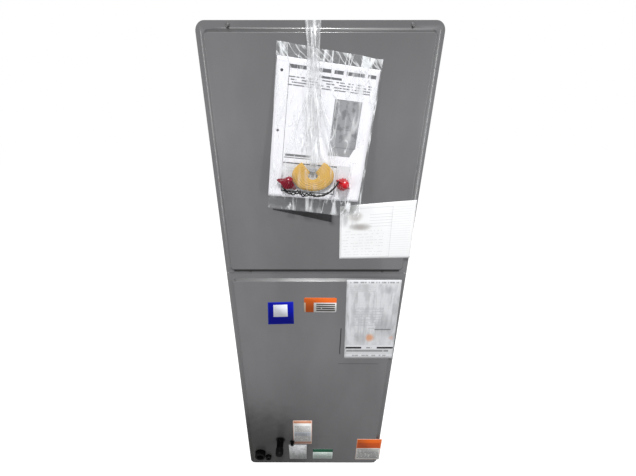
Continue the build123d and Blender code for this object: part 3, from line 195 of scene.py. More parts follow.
def sheetPaint(name, color, grain=900.0, rough=0.34):
    # baked paint on steel: fine orange peel, handling dust, a scratch and a scuff, a darker patch round the
    # line holes at the foot, painted shade towards the bottom, left and top and on up-facing slopes, and a
    # painted shadow line under the upper door's raised field
    paint = Finish(name, color, rough, Coat_Weight=0.4, Coat_Roughness=0.16)
    dust = paint.noise(7.0, 4.0, (1, 1, 0.35)).soft(0.35, 0.75)
    fleck = paint.noise(grain, 2.0)
    shade = paint.mix(dust, shaded(color, 0.9), shaded(color, 1.1))
    x, y, z = paint.axes(paint.spot())
    # painted shade: the paint is darker towards the bottom and left (foot) and a little towards the top
    # (head)
    foot = (1 - z.soft(0.0, soilAndShade["footTop"])) * (1.2 - x.soft(-0.45, 0.28))
    head = z.soft(soilAndShade["headFrom"], soilAndShade["headTop"]) * 0.26
    shade = paint.mix(foot + head, shade, shaded(color, 0.2))
    seen = y < soilAndShade["frontOf"]
    # painted shade: up-facing slopes on the front are darkened so they read no brighter than the flat paint
    tilt = paint.axes(paint.node("ShaderNodeTexCoord", {}, {}, "Normal"))[2]
    slope = tilt.soft(0.35, 0.7) * seen * (z < soilAndShade["slopeTop"])
    shade = paint.mix(slope * 0.62, shade, srgb(30, 30, 31))
    # painted shadow: a near-black line on the flange just under the raised field's lower bend
    paintedBendShadow = z.soft(*soilAndShade["lineLow"]) * (z < soilAndShade["lineHigh"]) * (x.size() < soilAndShade["lineHalf"]) * seen
    shade = paint.mix(paintedBendShadow * 0.92, shade, srgb(12, 12, 12))
    # a darker, rougher patch round the line holes at the lower left
    acrossHole, upHole = (x - soilAndShade["holeDarkeningX"]) * 3.8, (z - soilAndShade["holeDarkeningZ"]) * 3.2
    away = acrossHole * acrossHole + upHole * upHole
    away = away.math("SQRT", away)
    holeDarkening = (1 - (away + paint.noise(30.0, 4.0) * 0.5 - 0.25).soft(0.25, 1.0)) * seen
    shade = paint.mix(holeDarkening * 0.7, shade, srgb(27, 25, 22))
    line = (x - soilAndShade["scratchX"] + paint.noise(20.0, 1.0) * 0.004).size() < soilAndShade["markHalf"]
    line = line * (z > soilAndShade["scratchLow"]) * (z < soilAndShade["scratchHigh"]) * seen
    shade = paint.mix(line * 0.95, shade, srgb(26, 26, 28))
    scuff = (z - soilAndShade["scuffZ"] + paint.noise(9.0, 2.0) * 0.006).size() < soilAndShade["markHalf"]
    scuff = scuff * (x > soilAndShade["scuffLeft"]) * (x < soilAndShade["scuffRight"]) * seen
    shade = paint.mix(scuff * 0.55, shade, srgb(50, 50, 52))
    rough = rough + 0.12 * paint.noise(14.0).soft(0.3, 0.8) + holeDarkening * 0.3
    peel = fleck * 0.4 + paint.noise(3.0, 2.0) * 4
    return paint.dress(fleck.soft(0.3, 0.7) * 0.16, shade, shaded(color, 0.6), (peel, 0.12, 0.0006), rough)


def zincSheet(name, color=(0.50, 0.52, 0.53), rough=0.38):
    # hot-dipped sheet with its spangle
    zinc = Finish(name, color, rough, 0.85)
    flake = zinc.node("ShaderNodeTexVoronoi", {}, {"Vector": zinc.spot(), "Scale": 90.0}, "Color")
    tone = zinc.axes(flake)[0]
    relief = (zinc.noise(60.0), 0.05, 0.001)
    return zinc.dress(tone, shaded(color, 0.82), shaded(color, 1.15), relief, rough - 0.08 + 0.18 * tone)


def faceBoard(name):
    # faced insulation board: woven scrim under a dull film
    board = Finish(name, srgb(52, 52, 55), 0.75)
    x, y, z = board.axes(board.spot((160, 160, 160)))
    thread = ((x + y).part() - 0.5).size() * 2
    cross = ((z + y).part() - 0.5).size() * 2
    weave = thread.math("MAXIMUM", thread.soft(0.8, 1.0), cross.soft(0.8, 1.0))
    share = weave * 0.5 + board.noise(30.0) * 0.3
    return board.dress(share, srgb(44, 44, 47), srgb(104, 104, 106), (board.noise(200.0, 4.0), 0.25, 0.001))


def finEdges(name):
    # thin aluminium fins seen edge on, with a few bent ones; the dark lines between them are painted shade in
    # the gaps
    fins = Finish(name, (0.62, 0.64, 0.65), 0.34, 0.9)
    bent = fins.noise(22.0, 2.0) * 0.0009
    ridge = (((fins.axes(fins.spot())[1] + bent) * 560).part() - 0.5).size() * 2
    return fins.dress(ridge.soft(0.2, 0.8), (0.12, 0.12, 0.12), (0.72, 0.74, 0.76), (ridge, 0.5, 0.001))


def drawnCopper(name):
    copper = Finish(name, (0.72, 0.36, 0.22), 0.3, 1.0)
    stain = copper.noise(24.0, 5.0).soft(0.4, 0.75)
    relief = (copper.noise(300.0), 0.05, 0.0005)
    return copper.dress(stain, (0.74, 0.38, 0.24), (0.36, 0.18, 0.11), relief, 0.24 + 0.3 * stain)


def moulded(name, color, rough=0.5, grain=700.0, depth=0.12, level=0.4):
    plastic = Finish(name, color, rough, Specular_IOR_Level=level)
    patch = plastic.noise(18.0, 4.0).soft(0.35, 0.8)
    relief = (plastic.noise(grain, 2.0), depth, 0.0006)
    return plastic.dress(patch * 0.5, color, shaded(color, 1.35, 0.003), relief, rough - 0.05 + 0.15 * patch)


def softRubber(name, color=srgb(14, 14, 15)):
    rubber = Finish(name, color, 0.6, Specular_IOR_Level=0.35)
    bloom = rubber.noise(30.0, 5.0).soft(0.45, 0.8)
    return rubber.dress(bloom, color, srgb(58, 57, 56), (rubber.noise(260.0, 4.0), 0.3, 0.001))


def turnedSteel(name, color=(0.56, 0.56, 0.55), rough=0.3, stretch=(1, 60, 60)):
    steel = Finish(name, color, rough, 1.0)
    line = steel.noise(20.0, 4.0, stretch)
    rough = rough - 0.06 + 0.16 * line
    return steel.dress(line.soft(0.3, 0.7), shaded(color, 0.8), color, (line, 0.06, 0.0004), rough)


def boardGreen(name):
    board = Finish(name, (0.02, 0.16, 0.07), 0.35, 0.0, Coat_Weight=0.4)
    track = (board.noise(3.0, 0.0, (120, 120, 30)) > 0.56) * 0.6
    return board.dress(track, (0.015, 0.14, 0.06), (0.05, 0.32, 0.14), (track, 0.2, 0.0003))


def fibrous(name, color, dark, pale, rough, grain, span, depth):
    fabric = Finish(name, color, rough)
    fibre = fabric.noise(*grain)
    return fabric.dress(fibre.soft(*span), dark, pale, (fibre, *depth))


def laminations(name):
    core = Finish(name, (0.10, 0.095, 0.09), 0.4, 0.6)
    leaf = (core.axes(core.spot())[1] * 1400).part().soft(0.1, 0.5)
    return core.dress(leaf, (0.06, 0.055, 0.05), (0.2, 0.19, 0.18), (leaf, 0.2, 0.0004))


print("finishes")

# each coat and the CAD nodes that wear it
wears = {
    "paint": (sheetPaint("greyPaint", srgb(110, 110, 112)),
              "right_side_panel left_side_panel back_panel top_panel upper_door_panel lower_door_panel"),
    "zinc": (zincSheet("zincSheet"),
             "base_frame center_rail filter_rails pan_ledges coil_tube_sheets coil_delta_plates coil_top_cap "
             "blower_deck motor_mount control_box heater_blank_plate capacitor_strap"),
    "liner": (faceBoard("facedBoard"),
              "right_liner left_liner back_liner upper_door_insulation lower_door_insulation"),
    "fins": (finEdges("finEdges"), "right_coil_slab left_coil_slab"),
    "copper": (drawnCopper("drawnCopper"), "coil_return_bends suction_header liquid_line distributor"),
    "pan": (moulded("panPlastic", srgb(30, 30, 32), 0.5), "drain_pan drain_fitting drain_plug"),
    "black": (moulded("blackPlastic", srgb(22, 22, 23), 0.42), "terminal_block door_switch"),
    "rubber": (softRubber("blackRubber"), "line_caps line_grommets"),
    "wheel": (zincSheet("blowerZinc", (0.46, 0.47, 0.48), 0.42),
              "blower_scroll blower_side_right blower_side_left blower_cutoff blower_wheel"),
    "motor": (sheetPaint("motorEnamel", srgb(34, 34, 36), 1200.0, 0.32), "motor_shell motor_end_bells"),
    "shaft": (turnedSteel("groundShaft"), "motor_shaft"),
    "screw": (turnedSteel("zincScrew", (0.66, 0.65, 0.62), 0.28, (1, 1, 1)),
              "upper_door_screws lower_door_screws"),
    "darkScrew": (turnedSteel("dullScrew", (0.2, 0.2, 0.2), 0.4, (1, 1, 1)), ""),
    "can": (turnedSteel("capacitorCan", (0.64, 0.65, 0.66), 0.3, (40, 40, 1)), "run_capacitor"),
    "board": (boardGreen("circuitBoard"), "control_board"),
    "core": (laminations("transformerCore"), "transformer"),
    "card": (fibrous("filterCard", srgb(205, 198, 180), srgb(188, 180, 160), srgb(218, 212, 196), 0.85,
                     (120.0, 5.0, (1, 0.3, 1)), (0.35, 0.75), (0.2, 0.0006)), "filter_frame"),
    "cloth": (fibrous("pleatCloth", srgb(226, 229, 226), srgb(196, 200, 198), srgb(236, 238, 236), 0.9,
                      (900.0, 4.0, (1, 0.2, 1)), (0.3, 0.8), (0.35, 0.0008)), "filter_media"),
    "white": (moulded("whitePlastic", srgb(214, 214, 208), 0.4), "switch_plunger"),
}
coats = {coat: finish for coat, (finish, names) in wears.items()}
for finish, names in wears.values():
    for name in names.split():
        nodes[name].data.materials.clear()
        nodes[name].data.materials.append(finish)
print("CAD finishes")


def keep(bm, name, finish, body, node=None, smooth=40):
    # turns a bmesh into a finished piece that rides on its body
    mesh = bpy.data.meshes.new(name)
    bm.to_mesh(mesh)
    bm.free()
    piece = bpy.data.objects.new(name, mesh)
    bpy.context.scene.collection.objects.link(piece)
    mesh.materials.append(finish)
    mesh.shade_smooth()
    mesh.set_sharp_from_angle(angle=math.radians(smooth))
    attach(piece, body)
    if node:
        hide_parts(node)
    return piece


# doors and other round or folded nodes keep their CAD shape, with their folds shaded as one surface
smoothed = (
    ("paint", "upper_door", "case_paint", 28, "upper_door_panel"),
    ("paint", "lower_door", "case_paint", 28, "lower_door_panel"),
    ("copper", "cabinet", "copper", 50, "coil_return_bends suction_header liquid_line distributor"),
    ("pan", "cabinet", "black_plastic", 30, "drain_pan"),
    ("wheel", "cabinet", "blower_steel", 24, "blower_scroll"),
    ("wheel", "cabinet", "blower_steel", 40, "blower_side_right blower_side_left"),
    ("motor", "cabinet", "motor_black", 24, "motor_shell"),
    ("zinc", "cabinet", "galvanised", 24, "motor_mount"),
    ("shaft", "blower_rotor", "shaft_steel", 40, "motor_shaft"),
    ("zinc", "cabinet", "galvanised", 24, "capacitor_strap"),
)
weld = {"apart": 0.00002, "flat": math.radians(1)}
for coat, body, slot, angle, names in smoothed:
    for node in names.split():
        bm = bmesh.new()
        bm.from_mesh(nodes[node].data)
        bmesh.ops.remove_doubles(bm, verts=bm.verts, dist=weld["apart"])
        bmesh.ops.dissolve_limit(bm, angle_limit=weld["flat"], verts=bm.verts, edges=bm.edges)
        first, *others = node.split("_")
        name = first + "".join(word.title() for word in others) + "Smooth"
        keep(bm, name, coats[coat], body, node, angle)


def facing(centre, way):
    # puts a shape that was made round +Z at a centre, with +Z turned to the way it faces, in metres
    turn = Vector(toTop).rotation_difference(Vector(way)).to_matrix().to_4x4()
    return Matrix.Scale(mm, 4) @ Matrix.Translation(Vector(centre)) @ turn


def turned(outline, centre, way, steps=48, closed=False, bm=None):
    # spins an outline of (radius, height) round +Z, in millimetres
    bm = bm or bmesh.new()
    verts = [bm.verts.new((radius, 0, height)) for radius, height in outline]
    edges = [bm.edges.new(pair) for pair in zip(verts, verts[1:] + (verts[:1] if closed else []))]
    bmesh.ops.spin(bm, geom=verts + edges, cent=(0, 0, 0), axis=toTop, dvec=(0, 0, 0), angle=math.tau,
                   steps=steps, use_merge=True, use_duplicate=False)
    reached = {vert for face in bm.faces if not face.tag for vert in face.verts}
    for face in bm.faces:
        face.tag = True
    bmesh.ops.transform(bm, matrix=facing(centre, way), verts=list(reached))
    bmesh.ops.remove_doubles(bm, verts=bm.verts, dist=0.000002)
    return bm


def block(bm, low, high, edge):
    # a box between two corners, in millimetres, with its edges rounded
    low, high = Vector(low), Vector(high)
    verts = bmesh.ops.create_cube(bm, size=1.0)["verts"]
    placed = facing((low + high) / 2, toTop) @ Matrix.Diagonal((*(high - low), 1))
    bmesh.ops.transform(bm, matrix=placed, verts=verts)
    edges = list({edge for vert in verts for edge in vert.link_edges})
    bmesh.ops.bevel(bm, geom=edges, offset=edge * mm, affect="EDGES", segments=2, profile=0.5, material=-1)


def outward(bm):
    bmesh.ops.recalc_face_normals(bm, faces=bm.faces)
    return bm


def lathed(name, finish, node, parts, smooth=40):
    # one still piece from turned parts, each given as turned takes it
    bm = bmesh.new()
    for part in parts:
        turned(*part, bm=bm)
    keep(outward(bm), name, finish, "cabinet", node, smooth)


# hex washer screws: a flange, then a hexagon with a hollow top, as (sides, radius, taper, depth, foot)
screwParts = ((16, 5.4, 0.86, 0.9, 0.0), (6, 4.1, 0.97, 2.2, 0.85))
screwHollow = ((0.7, 0.25), (0.5, -0.45))


def screws(name, spots, body, node=None, coat="screw", scale=0.8):
    bm = bmesh.new()
    for centre, way in spots:
        before = set(bm.verts)
        for sides, radius, taper, deep, foot in screwParts:
            bmesh.ops.create_cone(bm, cap_ends=True, segments=sides, radius1=radius, radius2=radius * taper,
                                  depth=deep, matrix=Matrix.Translation((0, 0, foot + deep / 2)))
        fresh = [vert for vert in bm.verts if vert not in before]
        faces = {face for vert in fresh for face in vert.link_faces}
        top = max(faces, key=lambda face: face.calc_center_median().z)
        for thickness, depth in screwHollow:
            bmesh.ops.inset_individual(bm, faces=[top], thickness=thickness, depth=depth)
        fresh = [vert for vert in bm.verts if vert not in before]
        bmesh.ops.transform(bm, matrix=facing(centre, way) @ Matrix.Scale(scale, 4), verts=fresh)
    keep(outward(bm), name, coats[coat], body, node, 30)


doorScrews = {
    "upperDoorScrews": (185.0, 1464.6, "upper_door", "upper_door_screws", "darkScrew", 0.8),
    "seamScrews": (185.0, 895.0, "upper_door", None, "paint", 0.7),
    "lowerDoorScrews": (185.0, 8.5, "lower_door", "lower_door_screws", "paint", 0.7),
}
for name, (x, z, body, node, coat, scale) in doorScrews.items():
    screws(name, [((side * x, front["doorFace"], z), toFront) for side in (-1, 1)], body, node, coat, scale)

# screws that hold the case panels
caseScrews = {"backX": 234, "backZ": (34, 272, 510, 748, 986, 1224, 1452), "rowX": (-117, 0, 117),
              "rowZ": (14, 1452), "sideY": (-205, 30, 262), "sideZ": (9, 1281, 1456), "seamY": -224,
              "seamZ": (874, 906), "topX": 232, "topY": (-216, 30, 286), "topZ": 1469}
spots = [((side * caseScrews["backX"], z), toBack) for side in (-1, 1) for z in caseScrews["backZ"]]
spots += [((x, z), toBack) for x in caseScrews["rowX"] for z in caseScrews["rowZ"]]
spots = [((x, front["caseBack"], z), way) for (x, z), way in spots]
for side in (-1, 1):
    rows = [(y, z) for y in caseScrews["sideY"] for z in caseScrews["sideZ"]]
    rows += [(caseScrews["seamY"], z) for z in caseScrews["seamZ"]]
    spots += [((side * front["half"], y, z), (side, 0, 0)) for y, z in rows]
rows = [(side * caseScrews["topX"], y) for side in (-1, 1) for y in caseScrews["topY"]]
spots += [((x, y, caseScrews["topZ"]), toTop) for x, y in rows]
screws("caseScrews", spots, "cabinet")

# knockouts for the cable entries: punched rings held by two bridges, as (y, z, radius)
knockouts = {"rise": 0.5, "gap": 0.9, "floor": 0.15, "bridge": (0.35, 1.3, 1.8),
             "right": ((-188, 1342, 11), (-146, 1342, 14), (-182, 1398, 17)),
             "left": ((-188, 1342, 11), (-182, 1394, 14))}
bm = bmesh.new()
for side, key in ((1, "right"), (-1, "left")):
    for y, z, radius in knockouts[key]:
        rise, gap, floor = knockouts["rise"], knockouts["gap"], knockouts["floor"]
        outline = [(0, floor), (radius - gap, floor), (radius - gap * 0.6, rise), (radius + gap * 0.6, rise),
                   (radius + gap, 0)]
        turned(outline, (side * front["half"], y, z), (side, 0, 0), 40, bm=bm)
        for turn in (-1, 1):
            at = Vector((side * (front["half"] + 0.3), y, z + turn * radius))
            reach = Vector(knockouts["bridge"])
            block(bm, at - reach, at + reach, 0.2)
keep(outward(bm), "knockoutRings", coats["paint"], "cabinet")

# open plug for a spare cable entry, low on each side
sidePlug = {"radius": 13.0, "y": -120.0, "z": 640.0,
            "outline": ((0, 1.0), (0.55, 1.0), (0.66, 1.9), (0.86, 2.3), (0.97, 1.7), (1, 0.6), (1, 0))}
outline = [(sidePlug["radius"] * share, height) for share, height in sidePlug["outline"]]
lathed("sideEntryPlugs", coats["black"], None,
       [(outline, (side * front["half"], sidePlug["y"], sidePlug["z"]), (side, 0, 0), 40)
        for side in (-1, 1)])
print("fasteners")

# capped stubs at the foot: a sleeve, then the cap with its rolled lip
stubs = {
    "suction": {"x": -127.0, "z": 160.6, "tip": -300.25, "radius": 14.5, "grommet": 17.5, "lip": 0.62},
    "liquid": {"x": -82.0, "z": 150.0, "tip": -258.25, "radius": 6.5, "grommet": 9.0, "lip": 0.4},
}
caps, grommets = [], []
for sizes in stubs.values():
    length, r, g = front["fieldFace"] - sizes["tip"], sizes["radius"], sizes["grommet"]
    centre = (sizes["x"], front["fieldFace"], sizes["z"])
    lip = length * sizes["lip"]
    outline = [(0, length), (r * 0.62, length), (r * 0.86, length - 0.6), (r * 0.97, length - r * 0.22),
               (r * 0.97, lip + 3.2), (r, lip + 2.4), (r, lip + 0.6), (r * 0.93, lip), (r * 0.88, lip - 0.8),
               (r * 0.88, 4.0), (r * 0.9, -1.0), (r * 0.5, -1.0)]
    caps.append((outline, centre, toFront))
    outline = [(r * 0.93, -8), (g - 0.6, -8), (g - 0.6, -0.4), (g, 0.1), (g, 0.7), (g - 0.8, 1.0),
               (r * 0.93, 1.0)]
    grommets.append((outline, centre, toFront, 48, True))
capRubber = moulded("capVinyl", srgb(3, 3, 3), 0.34, 220.0, 0.1, 0.07)
lathed("stubCaps", capRubber, "line_caps", caps)
lathed("stubGrommets", coats["rubber"], "line_grommets", grommets)

# drain outlet: a ribbed collar round a threaded bore, and the plug beside it
drain = {"x": -207.0, "z": 80.0, "tip": -261.25, "root": -194.75, "collar": 20.0, "bore": 12.1, "neck": 16.0,
         "length": 16.0, "ridges": 14, "threadFrom": 0.48, "threadSpan": 0.5, "groove": 0.9, "crest": 0.05}
plug = {"x": -177.0, "z": 57.0,
        "outline": ((0, 48), (5.0, 48), (5.4, 49.5), (5.4, 58.0), (7.0, 58.5), (10.4, 58.5), (11.0, 57.6),
                    (11.0, 50.0), (10.2, 49.2), (7.6, 49.2), (7.6, 0), (0, 0))}


def drainOutline():
    deep = drain["root"] - drain["tip"]
    high = deep - drain["length"]
    bore, collar, neck = drain["bore"], drain["collar"], drain["neck"]
    outline = [(bore + 0.6, deep - 0.1), (bore + 2.2, deep), (collar - 1.4, deep), (collar, deep - 1.4),
               (collar, high + 1.2), (collar - 1.0, high), (neck, high), (neck, 0), (bore, 0)]
    pitch = deep * drain["threadSpan"] / drain["ridges"]
    for index in range(drain["ridges"]):
        cut = drain["groove"] if index % 2 else drain["crest"]
        outline.append((bore + cut, deep * drain["threadFrom"] + pitch * index))
    return outline


fittingPlastic = moulded("fittingPlastic", srgb(4, 4, 4), 0.36, 260.0, 0.12, 0.07)
lathed("drainOutlet", fittingPlastic, "drain_fitting",
       [(drainOutline(), (drain["x"], drain["root"], drain["z"]), toFront, 64, True)])
lathed("drainPlug", fittingPlastic, "drain_plug",
       [(plug["outline"], (plug["x"], drain["root"], plug["z"]), toFront, 40)])
print("fittings")

# blower wheel: forward-curved blades between two rolled rings, on a pressed disc
wheel = {"y": 37.25, "z": 1120.0, "radius": 127.0, "inner": 104.0, "half": 100.0, "blades": 48, "sweep": 9.0,
         "bulge": 3.2, "rim": 1.5, "tin": 0.7, "cuts": 6, "hub": 16.0, "hubHalf": 18.0, "bore": 6.45}


def aroundAxle(outline, x, way=1, steps=48, closed=True, bm=None):
    return turned(outline, (x, wheel["y"], wheel["z"]), (way, 0, 0), steps, closed, bm)


def wheelBlades():
    bm = bmesh.new()
    bmesh.ops.create_grid(bm, x_segments=wheel["cuts"], y_segments=1, size=0.5)
    for vert in bm.verts:
        share = vert.co.x + 0.5
        radius = wheel["inner"] + (wheel["radius"] - wheel["rim"] - wheel["inner"]) * share
        angle = math.radians(wheel["sweep"]) * share ** 2
        angle -= wheel["bulge"] / radius * math.sin(math.pi * share)
        along = vert.co.y * 2 * (wheel["half"] - 2)
        vert.co = Vector((along, radius * math.cos(angle), radius * math.sin(angle)))
    bmesh.ops.solidify(bm, geom=bm.faces[:], thickness=wheel["tin"])
    whole = bm.verts[:] + bm.edges[:] + bm.faces[:]
    steps = wheel["blades"] - 1
    bmesh.ops.spin(bm, geom=whole, cent=(0, 0, 0), axis=toRight, dvec=(0, 0, 0),
                   angle=math.tau * steps / wheel["blades"], steps=steps, use_duplicate=True)
    bmesh.ops.transform(bm, matrix=facing((0, wheel["y"], wheel["z"]), toTop), verts=bm.verts)
    inner, outer = wheel["inner"] - wheel["rim"], wheel["radius"]
    ring = [(inner, 0), (inner, -5), (inner + 1, -6), (outer - 1, -6), (outer, -5), (outer, -1),
            (outer - 1, 0)]
    for side in (-1, 1):
        aroundAxle(ring, side * wheel["half"], side, 96, True, bm)
    hub, long, bore = wheel["hub"], wheel["hubHalf"], wheel["bore"]
    disc = [(hub + 0.2, 1.2), (34, 1.2), (40, 5.0), (64, 5.0), (70, 1.0), (outer - 2, 1.0),
            (outer - 2, -0.2), (70, -0.2), (64, 3.8), (40, 3.8), (34, 0), (hub + 0.2, 0)]
    aroundAxle(disc, 0, 1, 72, True, bm)
    sleeve = [(bore, long), (hub - 1, long), (hub, long - 1), (hub, 1 - long), (hub - 1, -long),
              (bore, -long)]
    aroundAxle(sleeve, 0, bm=bm)
    return bm


keep(outward(wheelBlades()), "bladedWheel", coats["wheel"], "blower_rotor",
     "blower_wheel", 35)

# motor end bells: domed, with a stepped nose and four bolt heads
bells = {"radius": 69.0, "depth": 14.0, "nose": 24.0, "bore": 6.6, "bolts": 4, "boltReach": 60.0,
         "boltRise": 4.6, "bolt": ((0, 3.4), (3.2, 3.4), (3.8, 2.8), (3.8, -0.4)),
         "ends": ((50.0, -1), (146.0, 1))}
r, d, nose, bore = (bells[key] for key in ("radius", "depth", "nose", "bore"))
outline = [(bore, 0.2), (r - 0.4, 0.2), (r, 1.0), (r - 1.2, 3.4), (r * 0.9, 5.6), (r * 0.62, 7.6),
           (r * 0.42, 8.4), (nose, 8.8), (nose - 2, d - 1.2), (nose - 3.4, d), (bore, d)]
parts = []
for x, way in bells["ends"]:
    parts.append((outline, (x, wheel["y"], wheel["z"]), (way, 0, 0), 64, True))
    for index in range(bells["bolts"]):
        angle = math.tau * (index + 0.5) / bells["bolts"]
        y = wheel["y"] + bells["boltReach"] * math.cos(angle)
        z = wheel["z"] + bells["boltReach"] * math.sin(angle)
        parts.append((bells["bolt"], (x + way * bells["boltRise"], y, z), (way, 0, 0), 12))
lathed("motorBells", coats["motor"], "motor_end_bells", parts, 35)

# run capacitor: a rolled can with three blade terminals
can = {"x": 172.0, "y": -167.45, "low": 1290.4, "tall": 74.0, "radius": 21.6, "top": 71.6, "circle": 10,
       "blade": (0.6, 3.1), "bladeTall": 10}
r = can["radius"]
outline = [(0, 0), (r - 1, 0), (r, 1), (r, 8), (r - 0.5, 8.8), (r - 0.5, 69), (r, 70), (r, 73),
           (r - 0.8, can["tall"]), (r - 2, 73.4), (r - 2.6, 71.6), (8, 72.4), (0, 72.4)]
bm = turned(outline, (can["x"], can["y"], can["low"]), toTop)
for turn in range(3):
    angle = turn * math.tau / 3
    x, y = can["x"] + can["circle"] * math.cos(angle), can["y"] + can["circle"] * math.sin(angle)
    wide, long = can["blade"]
    low = can["low"] + can["top"]
    block(bm, (x - wide, y - long, low), (x + wide, y + long, low + can["bladeTall"]), 0.3)
keep(outward(bm), "capacitorCan", coats["can"], "cabinet", "run_capacitor")

# control board: its leaf, then its parts as boxes (low, high) of x, depth and z from its face's middle
board = {"x": 90.0, "z": 1349.2, "face": -153.55, "leaf": 1.6, "half": (37.0, 46.0)}
boardParts = {
    "boardRelays": ("relayBlue", srgb(24, 46, 88), [((-27, 0, 4), (-5, 18, 32)), ((3, 0, 4), (25, 18, 32))]),
    "boardConnectors": ("connectorWhite", srgb(206, 204, 194),
                        [((-29, 0, -40), (29, 12, -28)), ((-33, 0, -20), (-25, 9, -4)),
                         ((24, 0, -18), (33, 9, -6))]),
    "boardChips": ("chipBlack", srgb(20, 20, 22),
                   [((-16, 0, -20), (-6, 2, -8)), ((0, 0, -22), (14, 2.4, -12)), ((-10, 0, 35), (4, 3, 41))]),
    "boardFuse": ("fuseViolet", srgb(108, 58, 140), [((14, 0, 35), (28, 13, 39))]),
}
# round parts as (x, z, radius, height), and the four posts' screws
boardRounds = ((-20, -24, 3, 9), (-12, -25, 2.5, 8), (18, -4, 4, 12), (29, 20, 3, 9), (-31, 20, 2.6, 9))
boardPosts = {"spots": ((-30, -38), (30, -38), (-30, 38), (30, 38)),
              "outline": ((0, 3), (2.2, 3), (2.6, 2.2), (2.6, -10.5), (0, -10.5))}


def onBoard(x, depth, z):
    return Vector((board["x"] + x, board["face"] - depth, board["z"] + z))


def boardBoxes(name, finish, node, boxes, edge):
    bm = bmesh.new()
    for (left, near, foot), (right, far, head) in boxes:
        block(bm, onBoard(left, far, foot), onBoard(right, near, head), edge)
    keep(outward(bm), name, finish, "cabinet", node, 30)


wide, tall = board["half"]
boardBoxes("boardLeaf", coats["board"], "control_board",
           [((-wide, -board["leaf"], -tall), (wide, 0, tall))], 0.3)
for name, (finishName, shade, boxes) in boardParts.items():
    boardBoxes(name, moulded(finishName, shade, 0.4), None, boxes, 0.7)
parts = [([(0, tall), (r - 0.5, tall), (r, tall - 0.6), (r, 0)], onBoard(x, 0, z), toFront, 24)
         for x, z, r, tall in boardRounds]
parts += [(boardPosts["outline"], onBoard(x, 0, z), toFront, 16) for x, z in boardPosts["spots"]]
lathed("boardRounds", coats["can"], None, parts)

# transformer windings and the terminal block's screws
winding = {"low": (-1.5, -174.4, 1302.8), "high": (31.5, -150.4, 1375.6), "edge": 2.4}
bm = bmesh.new()
block(bm, winding["low"], winding["high"], winding["edge"])
amber = moulded("amberTape", srgb(186, 128, 42), 0.3, 120.0, 0.08)
keep(outward(bm), "transformerWinding", amber, "cabinet")
terminals = {"x": (128, 150, 172), "face": -160.2, "z": (1412, 1426),
             "outline": ((0, 2.2), (3.4, 2.2), (4.2, 1.5), (4.2, -1.0))}
brass = turnedSteel("brassScrew", (0.72, 0.52, 0.24), 0.3, (60, 1, 60))
parts = [(terminals["outline"], (x, terminals["face"], z), toFront, 20)
         for x in terminals["x"] for z in terminals["z"]]
lathed("terminalScrews", brass, None, parts, 35)
print("inside")


def onField(x, z, lift):
    return Vector((x, front["fieldFace"] - lift, z)) * mm


def onSight(x, z, lift):
    # the point that far out from the door which hides (x, z) of the door from the camera
    eye = camera["spot"]
    near = lift / (front["fieldFace"] - eye[1])
    return onField(x + (eye[0] - x) * near, z + (eye[2] - z) * near, lift)


def between(corners, across, down):
    # a spot between four corners given as top left, top right, bottom right, bottom left
    topLeft, topRight, lowRight, lowLeft = (Vector(corner) for corner in corners)
    return topLeft.lerp(topRight, across).lerp(lowLeft.lerp(lowRight, across), down)


def laidGrid(cuts, place, corner=0):
    # a grid with its own print map, each point then placed by how far across and down it is
    bm = bmesh.new()
    layer = bm.loops.layers.uv.new("print")
    bmesh.ops.create_grid(bm, x_segments=cuts[0], y_segments=cuts[1], size=0.5)
    if corner:
        ends = [vert for vert in bm.verts if len(vert.link_edges) == 2]
        bmesh.ops.bevel(bm, geom=ends, offset=corner, affect="VERTICES", segments=5, profile=0.5, material=-1)
    for face in bm.faces:
        for loop in face.loops:
            loop[layer].uv = (loop.vert.co.x + 0.5, loop.vert.co.y + 0.5)
    for vert in bm.verts:
        vert.co = place(vert.co.x + 0.5, 0.5 - vert.co.y)
    bm.normal_update()
    if sum(face.normal.y > 0 for face in bm.faces) > len(bm.faces) / 2:
        bmesh.ops.reverse_faces(bm, faces=bm.faces)
    return bm


def thicken(piece, thickness):
    shell = piece.modifiers.new("thickness", "SOLIDIFY")
    shell.thickness = thickness * mm
    shell.offset = -1


def mark(kind, left, low, right, high, shade, weight=1.0, **more):
    return {"kind": kind, "at": (left, low, right, high), "ink": shade, "weight": weight, **more}


